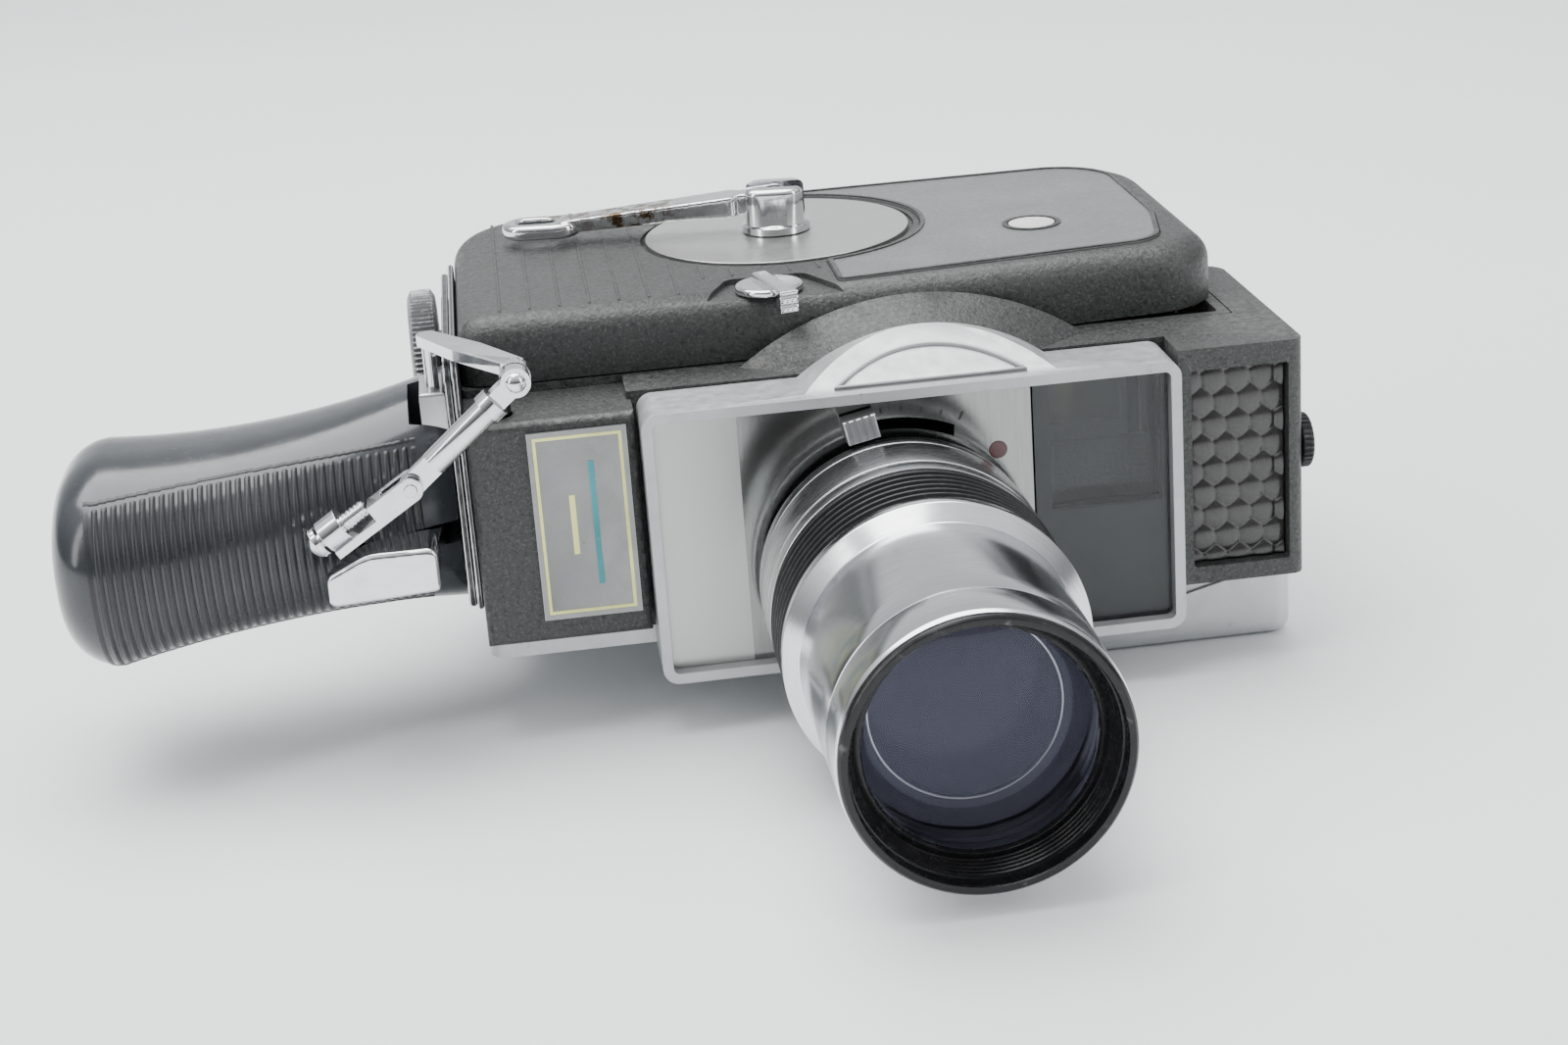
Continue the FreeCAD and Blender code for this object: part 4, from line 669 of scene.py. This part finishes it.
def grip_ring(x, inset=0.0, steps=120):
    """Points of the grip's rounded section, from the top rear corner round by the rear and the front."""
    y, z, half_y, half_z = grip_size(x)
    over = max(0.0, (GRIP_LOW.x + END_ROUND - x) / END_ROUND)
    shrink = END_ROUND * (1 - math.sqrt(max(0.0, 1 - min(1.0, over) ** 2)))
    half_y, half_z = half_y - shrink - inset, half_z - shrink - inset
    corner = 0.62 * min(half_y, half_z)
    points = []
    for i in range(steps):
        turn = 2 * math.pi * (i + 0.5) / steps
        c, s = math.cos(turn), math.sin(turn)
        sharp = 0.66
        side = math.copysign(abs(c) ** sharp, c) * (half_y - corner) + corner * c
        up = math.copysign(abs(s) ** sharp, s) * (half_z - corner) + corner * s
        points.append((x, y + side, z + up))
    return points


def grip_stations():
    shoulder = GRIP_LOW.x + END_ROUND
    stations = [GRIP_HIGH.x + (shoulder - GRIP_HIGH.x) * i / 36 for i in range(37)]
    stations += [shoulder - END_ROUND * math.sin(math.radians(5 * k)) for k in range(1, 18)]
    return stations


def capped(bm, ring, x, levels=6):
    """Close a ring with shrinking rings and a middle fan."""
    count = len(ring)
    centre = sum((v.co for v in ring), Vector()) / count
    last = ring
    for k in range(1, levels):
        share = 1 - k / levels
        points = [centre + (v.co - centre) * share for v in ring]
        following = ring_of(bm, [(x, p.y, p.z) for p in points])
        bridge(bm, last, following)
        last = following
    tip = bm.verts.new((x, centre.y, centre.z))
    for i in range(count):
        bm.faces.new((last[i], last[(i + 1) % count], tip))


def grip_shell():
    bm = bmesh.new()
    rings = [ring_of(bm, grip_ring(x)) for x in grip_stations()]
    for first, second in zip(rings, rings[1:]):
        bridge(bm, first, second)
    capped(bm, rings[0], GRIP_HIGH.x)
    capped(bm, rings[-1], GRIP_LOW.x)
    obj = for_node("grip_shell", bm, angle=50)
    block_low, block_high = box("grip_block")
    slot_low, slot_high = trigger_slot()
    left, right = block_low.x - SEAT_GAP, GRIP_HIGH.x + 2
    cut(obj, [(left, right, block_low.y - 0.2, block_high.y + 0.2, BLOCK_SEAT_Z, ABOVE_GRIP),
              (left, right, block_low.y - NOTCH_REACH, block_low.y + 1.0, BLOCK_NOTCH_Z, ABOVE_GRIP),
              (slot_low.x, slot_high.x, slot_low.y, slot_high.y, slot_low.z, slot_high.z)])


def trigger_slot():
    """Lowest and highest corner of the slot that the trigger's tail swings in."""
    low, high = box("trigger")
    return (Vector((low.x + 6.0, low.y - 1.0, low.z + 3.4)),
            Vector((GRIP_HIGH.x + 3.0, high.y + 3.0, high.z - 2.4)))


def cut(obj, boxes):
    """Cut boxes, given in mm, one after the other out of a closed mesh."""
    for corners in boxes:
        bm = bmesh.new()
        box_bm(bm, *corners)
        bmesh.ops.recalc_face_normals(bm, faces=bm.faces[:])
        mesh = bpy.data.meshes.new("cutter")
        bm.to_mesh(mesh)
        bm.free()
        mesh.transform(Matrix.Scale(MM, 4))
        cutter = bpy.data.objects.new("cutter", mesh)
        bpy.context.scene.collection.objects.link(cutter)
        boolean = obj.modifiers.new("cut", "BOOLEAN")
        boolean.object = cutter
        boolean.operation = "DIFFERENCE"
        boolean.solver = "EXACT"
        bpy.context.view_layer.update()
        bake_modifiers(obj)
        bpy.data.objects.remove(cutter)


def panel_strip(x, steps=64):
    """Points on the grip's section, from under the panel's rear edge to its top edge."""
    low, high = box("grip_panel")
    length = high.x - low.x
    t = (x - low.x) / length
    rear = -9.5 + 8.0 * t + 8.0 * t ** 2
    top = 59.6 + 1.6 * t
    path = [Vector(point) for point in grip_ring(x, steps=480) if point[1] < rear and point[2] < top]
    path.sort(key=lambda p: math.atan2(p.z - grip_size(x)[1], rear - p.y))
    return resampled(path, steps)


def resampled(path, steps):
    lengths = [0.0]
    for first, second in zip(path, path[1:]):
        lengths.append(lengths[-1] + (second - first).length)
    result = []
    k = 0
    for i in range(steps):
        target = lengths[-1] * i / (steps - 1)
        while k < len(path) - 2 and lengths[k + 1] < target:
            k += 1
        gap = max(1e-9, lengths[k + 1] - lengths[k])
        result.append(path[k].lerp(path[k + 1], (target - lengths[k]) / gap))
    return result


def grip_panel():
    """Ribbed front strip with a plain lip round it."""
    low, high = box("grip_panel")
    margin = 1.3
    bm = bmesh.new()
    steps = 64
    ribs = round((high.x - low.x - 2 * margin) / RIB_PITCH)
    per_rib = 6
    rings = []
    count = ribs * per_rib
    pitch = (high.x - low.x - 2 * margin) / ribs
    stations = [(low.x, -0.9), (low.x + 0.05, 0.15), (low.x + 0.6 * margin, 0.15), (low.x + margin, -0.25)]
    for i in range(count + 1):
        wave = 0.5 - 0.5 * math.cos(2 * math.pi * i / per_rib)
        stations.append((low.x + margin + pitch * i / per_rib + 0.01, -0.25 + 0.62 * wave ** 0.6))
    stations += [(high.x - 0.6 * margin, 0.15), (high.x - 0.05, 0.15), (high.x, -0.9)]
    for x, height in stations:
        path = panel_strip(x, steps)
        centre = Vector((x, *grip_size(x)[:2]))
        points = []
        for k, point in enumerate(path):
            edge = min(k, steps - 1 - k)
            lift = (-0.9, 0.15, 0.15, -0.25)[edge] if edge < 4 else height
            if height <= -0.9:
                lift = -0.9
            out = (point - centre).normalized()
            points.append(point + out * lift)
        outer = ring_of(bm, points)
        inner = ring_of(bm, [p + (centre - p).normalized() * 1.6 for p in points])
        rings.append(outer + inner[::-1])
    for first, second in zip(rings, rings[1:]):
        bridge(bm, first, second)
    bm.faces.new(rings[0])
    bm.faces.new(rings[-1][::-1])
    obj = for_node("grip_panel", bm, angle=65)
    slot_low, slot_high = trigger_slot()
    block_low, block_high = box("grip_block")
    cut(obj, [(slot_low.x, slot_high.x, slot_low.y, slot_high.y, slot_low.z, slot_high.z),
              (block_low.x - SEAT_GAP, high.x + 2, block_low.y - NOTCH_REACH, 90.0,
               BLOCK_NOTCH_Z, ABOVE_GRIP)])


# ----------------------------------------------------------- cell and fittings

def cell_cover():
    """Screen of domed hexagon lenslets."""
    low, high = box("cell_cover")
    bm = bmesh.new()
    pitch_x, pitch_z = 4.9, 4.7
    nx, nz = 76, 160
    depth = high.y - low.y - 0.4

    def height(x, z):
        best = 9.0
        row = round(z / pitch_z)
        for r in (row - 1, row, row + 1):
            shift = 0.5 * (r % 2)
            column = round(x / pitch_x - shift)
            for c in (column - 1, column, column + 1):
                best = min(best, math.hypot((x / pitch_x - shift - c), (z / pitch_z - r) * 0.86))
        rim = max(0.0, 1 - (best / 0.56) ** 2)
        return 0.75 * rim ** 0.7

    rows = []
    for j in range(nz + 1):
        z = (high.z - low.z) * j / nz
        row = []
        for i in range(nx + 1):
            x = (high.x - low.x) * i / nx
            inside = 0 < i < nx and 0 < j < nz
            y = high.y - (depth * 0.55 + depth * 0.6 * height(x, z) if inside else 0.0)
            row.append(bm.verts.new((low.x + x, max(low.y, y), low.z + z)))
        rows.append(row)
    for first, second in zip(rows, rows[1:]):
        bridge(bm, first, second, closed=False)
    border = [e for e in bm.edges if e.is_boundary]
    bmesh.ops.contextual_create(bm, geom=border)
    return for_node("cell_cover", bm, angle=60)


def clamp_wheel():
    low, high = box("clamp_screw")
    centre = middle("clamp_screw")
    radius = (high.z - low.z) / 2
    centre = Vector((centre.x, high.y - radius, centre.z))
    flutes, steps = 84, 504
    edge = radius - 0.05

    def wobble(along, r, turn):
        return -0.55 * (0.5 - 0.5 * math.cos(flutes * turn)) if r > edge - 0.3 else 0.0

    x = low.x
    profile = [(x + 0.4, 0.4), (x + 0.4, 4.0), (x, 5.0), (x, radius - 1.6), (x + 0.5, radius - 0.7),
               (x + 0.9, edge), (x + 4.9, edge), (x + 5.3, radius - 0.7), (x + 5.8, radius - 1.6),
               (x + 5.8, 6.0), (x + 7.0, 6.0), (x + 7.0, 3.1), (high.x - 0.6, 3.1),
               (high.x, 2.4), (high.x, 0.4)]
    for_node("clamp_screw", lathe(rounded(profile, 0.15, 2), centre, "x", steps, wobble), angle=50)


def speed_wheel():
    low, high = box("speed_knob")
    centre = middle("speed_knob")
    radius = (high.z - low.z) / 2
    flutes = 30

    def wobble(along, r, turn):
        return -0.4 * (0.5 - 0.5 * math.cos(flutes * turn)) if r > radius - 0.3 else 0.0

    x = high.x
    profile = [(low.x, 0.3), (low.x, 2.0), (x - 2.65, 2.0), (x - 2.65, radius - 0.8),
               (x - 2.3, radius - 0.02),
               (x - 0.5, radius - 0.02), (x - 0.1, radius - 0.6), (x, radius - 1.2), (x, 0.3)]
    for_node("speed_knob", lathe(rounded(profile, 0.12, 2), centre, "x", 240, wobble), angle=50)


def face_ridge(node, name, offset, width, height, look):
    """A thin raised line that follows the outline of a node's top face."""
    bm = node_bmesh(node)
    top = max(v.co.z for v in bm.verts)
    others = [f for f in bm.faces if f.calc_center_median().z < top - 0.02 or f.normal.z < 0.9]
    bmesh.ops.delete(bm, geom=others, context="FACES")

    def inset(thickness):
        return bmesh.ops.inset_region(bm, faces=bm.faces[:], thickness=thickness, use_even_offset=True,
                                      use_boundary=True)["faces"]

    inset(offset)
    margin = [f for f in bm.faces if any(e.is_boundary for e in f.edges)]
    bmesh.ops.delete(bm, geom=margin, context="FACES")
    ring = inset(width)
    bmesh.ops.delete(bm, geom=[f for f in bm.faces if f not in ring], context="FACES")
    raised = bmesh.ops.extrude_face_region(bm, geom=bm.faces[:])["geom"]
    lifted = [v for v in raised if isinstance(v, bmesh.types.BMVert)]
    bmesh.ops.translate(bm, vec=(0, 0, height), verts=lifted)
    return piece(name, bm, look, BODY_OF[node])


def cover_lines():
    """Fine raised lines across the lens-side half of the cover."""
    bm = bmesh.new()
    top = COVER_HIGH.z
    knob = middle("selector_knob")
    plate_low, plate_high = box("side_plate")
    pitch = 5.9
    x = COVER_LOW.x + 9.0
    corner = 22.0
    while x < plate_low.x - 1.2:
        front = COVER_LOW.y + 9.0
        rear = COVER_HIGH.y - 5.0
        from_side = x - COVER_LOW.x
        if from_side < corner:
            rear -= corner - math.sqrt(corner ** 2 - (corner - from_side) ** 2)
            front += max(0.0, 9.0 - from_side) * 0.4
        spans = [(front, rear)]
        if abs(x - knob.x) < 17.0:
            spans = [(max(front, box("selector_knob")[1].y + 3.0), rear)]
        gap = 29.6
        if abs(x - DISC.x) < gap:
            half = math.sqrt(gap ** 2 - (x - DISC.x) ** 2)
            spans = [(a, min(b, DISC.y - half)) for a, b in spans] + [(max(spans[0][0], DISC.y + half), rear)]
        for a, b in spans:
            if b - a > 1.0:
                box_bm(bm, x - 0.30, x + 0.30, a, b, top - 0.1, top + 0.20)
        x += pitch
    obj = piece("cover_lines", bm, "enamel", BODY_OF["motor_cover"])
    bevel = obj.modifiers.new("eased_edges", "BEVEL")
    bevel.width = 0.14 * MM
    bevel.segments = 2


def rectangle_line(name, x0, x1, z0, z1, y0, y1, width, look, body):
    """A thin rectangular frame that faces the front."""
    bm = bmesh.new()
    box_bm(bm, x0, x1, y0, y1, z0, z0 + width)
    box_bm(bm, x0, x1, y0, y1, z1 - width, z1)
    box_bm(bm, x0, x0 + width, y0, y1, z0 + width, z1 - width)
    box_bm(bm, x1 - width, x1, y0, y1, z0 + width, z1 - width)
    return piece(name, bm, look, body)


def nameplate_lines():
    low, high = box("nameplate")
    face = low.y + 0.22
    inset = 0.75
    body = BODY_OF["nameplate"]
    rectangle_line("nameplate_line", low.x + inset, high.x - inset, low.z + inset, high.z - inset,
                   face - 0.14, face + 0.12, 0.85, "yellow_line", body)
    rim = 0.45
    rectangle_line("nameplate_rim", low.x, high.x, low.z, high.z, low.y + 0.02, face + 0.1, rim,
                   "frame_silver", body)
    middle_x = (low.x + high.x) / 2
    for name, x, half, look in (("teal_stripe", middle_x + 2.2, 12.5, "teal_line"),
                                ("yellow_stripe", middle_x - 2.0, 6.0, "yellow_line")):
        bm = bmesh.new()
        centre_z = (low.z + high.z) / 2
        box_bm(bm, x - 0.55, x + 0.55, face - 0.1, face + 0.12, centre_z - half, centre_z + half)
        piece(name, bm, look, body)


def arch_lip():
    """Raised line that borders the half-moon of the frame."""
    half_w = PLATE_HIGH.z
    centre_x = (FRAME_LOW.x + FRAME_HIGH.x) / 2 + 4.0
    curve_r, inset, width = 40.0, 2.7, 0.95
    top_z = FRAME_HIGH.z
    slope_low = Vector((0, FRAME_LOW.y + 2.5, half_w + 2.2))
    slope_high = Vector((0, FRAME_HIGH.y, top_z + 0.2))
    rise = (slope_high.z - slope_low.z) / (slope_high.y - slope_low.y)

    def on_slope(x, z):
        return (x, slope_low.y + (z - slope_low.z) / rise, z)

    radius = curve_r - inset
    base = slope_low.z + 0.6
    centre_z = top_z - curve_r - 0.2
    half = math.sqrt(max(1.0, radius ** 2 - (base - centre_z) ** 2))
    spread = math.asin(half / radius)
    steps = 60
    path = []
    for i in range(steps + 1):
        turn = -spread + 2 * spread * i / steps
        path.append(on_slope(centre_x + radius * math.sin(turn), centre_z + radius * math.cos(turn)))
    curve = bpy.data.curves.new("arch_lip", "CURVE")
    curve.dimensions = "3D"
    curve.bevel_depth = width * MM / 2
    curve.bevel_resolution = 2
    spline = curve.splines.new("POLY")
    spline.points.add(len(path) - 1)
    for point, place in zip(spline.points, path):
        point.co = (*(value * MM for value in place), 1.0)
    spline.use_cyclic_u = True
    curve.materials.append(LOOKS["frame_silver"].material)
    obj = bpy.data.objects.new("arch_lip", curve)
    bpy.context.scene.collection.objects.link(obj)
    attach(obj, BODY_OF["front_frame"])


def slot_marks():
    """Short printed ticks outside the filter slot, in place of lettering."""
    bm = bmesh.new()
    face = PLATE_LOW.y
    for degrees, length in ((-3.0, 1.0), (4.0, 1.0), (11.0, 1.0), (18.0, 1.0), (25.0, 1.8)):
        turn = math.radians(degrees)
        start = len(bm.verts)
        box_bm(bm, -0.22, 0.22, face - 0.03, face + 0.05, 31.6, 31.6 + length)
        bm.verts.ensure_lookup_table()
        fresh = bm.verts[start:]
        bmesh.ops.rotate(bm, verts=fresh, cent=(0, 0, 0), matrix=Matrix.Rotation(turn, 3, "Y"))
        bmesh.ops.translate(bm, verts=fresh, vec=(LENS.x, 0, LENS.z))
    piece("slot_marks", bm, "dark_ink", BODY_OF["face_plate"])


# ---------------------------------------------------------------- assembly

for name, obj in NODES.items():
    obj.data.materials.clear()
    obj.data.materials.append(look_of(name))

lens_pieces()
grip_shell()
grip_panel()
cell_cover()
clamp_wheel()
speed_wheel()
face_ridge("side_plate", "side_plate_ridge", 0.05, 0.9, 0.30, "enamel")
cover_lines()
nameplate_lines()
arch_lip()
slot_marks()

for node, voxel, rounds in (("crank_arm", 0.3, 6), ("selector_knob", 0.2, 3), ("trigger", 0.28, 6)):
    cast(node, voxel, rounds)
for node, width in (("crank_hub", 0.35), ("link_foot", 0.25), ("link_sleeve", 0.25), ("release_arm", 0.2),
                    ("thumb_screw", 0.12), ("front_frame", 0.35), ("film_door", 0.3), ("grip_block", 0.3),
                    ("front_housing", 0.5), ("motor_cover", 0.4), ("winding_disc", 0.15),
                    ("filter_lever", 0.15), ("nameplate", 0.12), ("side_plate", 0.12),
                    ("release_button", 0.2), ("eyepiece", 0.2)):
    eased_edges(node, width)
for node in ("base_plate", "grip_bracket"):
    eased_edges(node, 0.35, segments=1, edge_look="chrome")


# ------------------------------------------------------------ floor and light

def stage():
    low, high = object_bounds()
    half, depth, rise, bend = 3.0, 2.2, 2.6, 0.9
    bm = bmesh.new()
    profile = [(-2.5, 0.0), (depth - bend, 0.0)]
    for k in range(1, 13):
        turn = math.radians(90 * k / 12)
        profile.append((depth - bend + bend * math.sin(turn), bend - bend * math.cos(turn)))
    profile.append((depth, rise))
    rows = [ring_of(bm, [(-half, y, z + low.z - 0.0002), (half, y, z + low.z - 0.0002)]) for y, z in profile]
    for first, second in zip(rows, rows[1:]):
        bridge(bm, first, second, closed=False)
    mesh = bpy.data.meshes.new("floor")
    bm.to_mesh(mesh)
    bm.free()
    for polygon in mesh.polygons:
        polygon.use_smooth = True
    look = Surface("floor", (0.90, 0.92, 0.925), 0.0, 0.6)
    look.tint(look.span(look.noise(300, 3), 0.35, 0.7), (0.93, 0.945, 0.95))
    mesh.materials.append(look.material)
    floor = bpy.data.objects.new("floor", mesh)
    bpy.context.scene.collection.objects.link(floor)
    floor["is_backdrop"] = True


def area_light(name, place, target, size, power, tall=None):
    light = bpy.data.lights.new(name, "AREA")
    light.shape = "RECTANGLE"
    light.size = size
    light.size_y = tall or size
    light.energy = power
    obj = bpy.data.objects.new(name, light)
    obj.location = place
    obj.rotation_euler = (Vector(target) - Vector(place)).to_track_quat("-Z", "Y").to_euler()
    bpy.context.scene.collection.objects.link(obj)


def world():
    sky = bpy.data.worlds.new("studio")
    bpy.context.scene.world = sky
    sky.use_nodes = True
    tree = sky.node_tree
    background = tree.nodes["Background"]
    coordinates = tree.nodes.new("ShaderNodeTexCoord")
    split = tree.nodes.new("ShaderNodeSeparateXYZ")
    ramp = tree.nodes.new("ShaderNodeValToRGB")
    tree.links.new(coordinates.outputs["Generated"], split.inputs[0])
    tree.links.new(split.outputs["Z"], ramp.inputs["Fac"])
    front = tree.nodes.new("ShaderNodeMapRange")
    tree.links.new(split.outputs["Y"], front.inputs["Value"])
    front.inputs["From Min"].default_value = -1.0
    front.inputs["From Max"].default_value = -0.45
    front.inputs["To Min"].default_value = 0.38
    front.inputs["To Max"].default_value = 1.0
    tree.links.new(front.outputs[0], background.inputs["Strength"])
    tree.links.new(ramp.outputs["Color"], background.inputs["Color"])
    ramp.color_ramp.elements[0].position = 0.05
    ramp.color_ramp.elements[0].color = (0.16, 0.165, 0.17, 1)
    ramp.color_ramp.elements[1].position = 0.65
    ramp.color_ramp.elements[1].color = (1.0, 1.02, 1.04, 1)


def camera():
    data = bpy.data.cameras.new("camera")
    data.lens = 61.28
    data.sensor_width = 36.0
    data.clip_end = 20.0
    obj = bpy.data.objects.new("camera", data)
    obj.location = (-0.0322, -0.4948, 0.2143)
    obj.rotation_euler = [math.radians(angle) for angle in (70.19, 4.00, -7.12)]
    bpy.context.scene.collection.objects.link(obj)
    bpy.context.scene.camera = obj


stage()
world()
camera()
area_light("top_light", (-0.20, 0.30, 1.35), (0, 0, 0), 1.4, 38.0)
area_light("left_strip", (-1.2, -0.5, 0.7), (0, -0.05, 0.05), 0.30, 6.0, 1.2)
area_light("right_strip", (1.1, -0.7, 0.6), (0, -0.05, 0.05), 0.20, 5.0, 1.0)

bpy.context.view_layer.update()
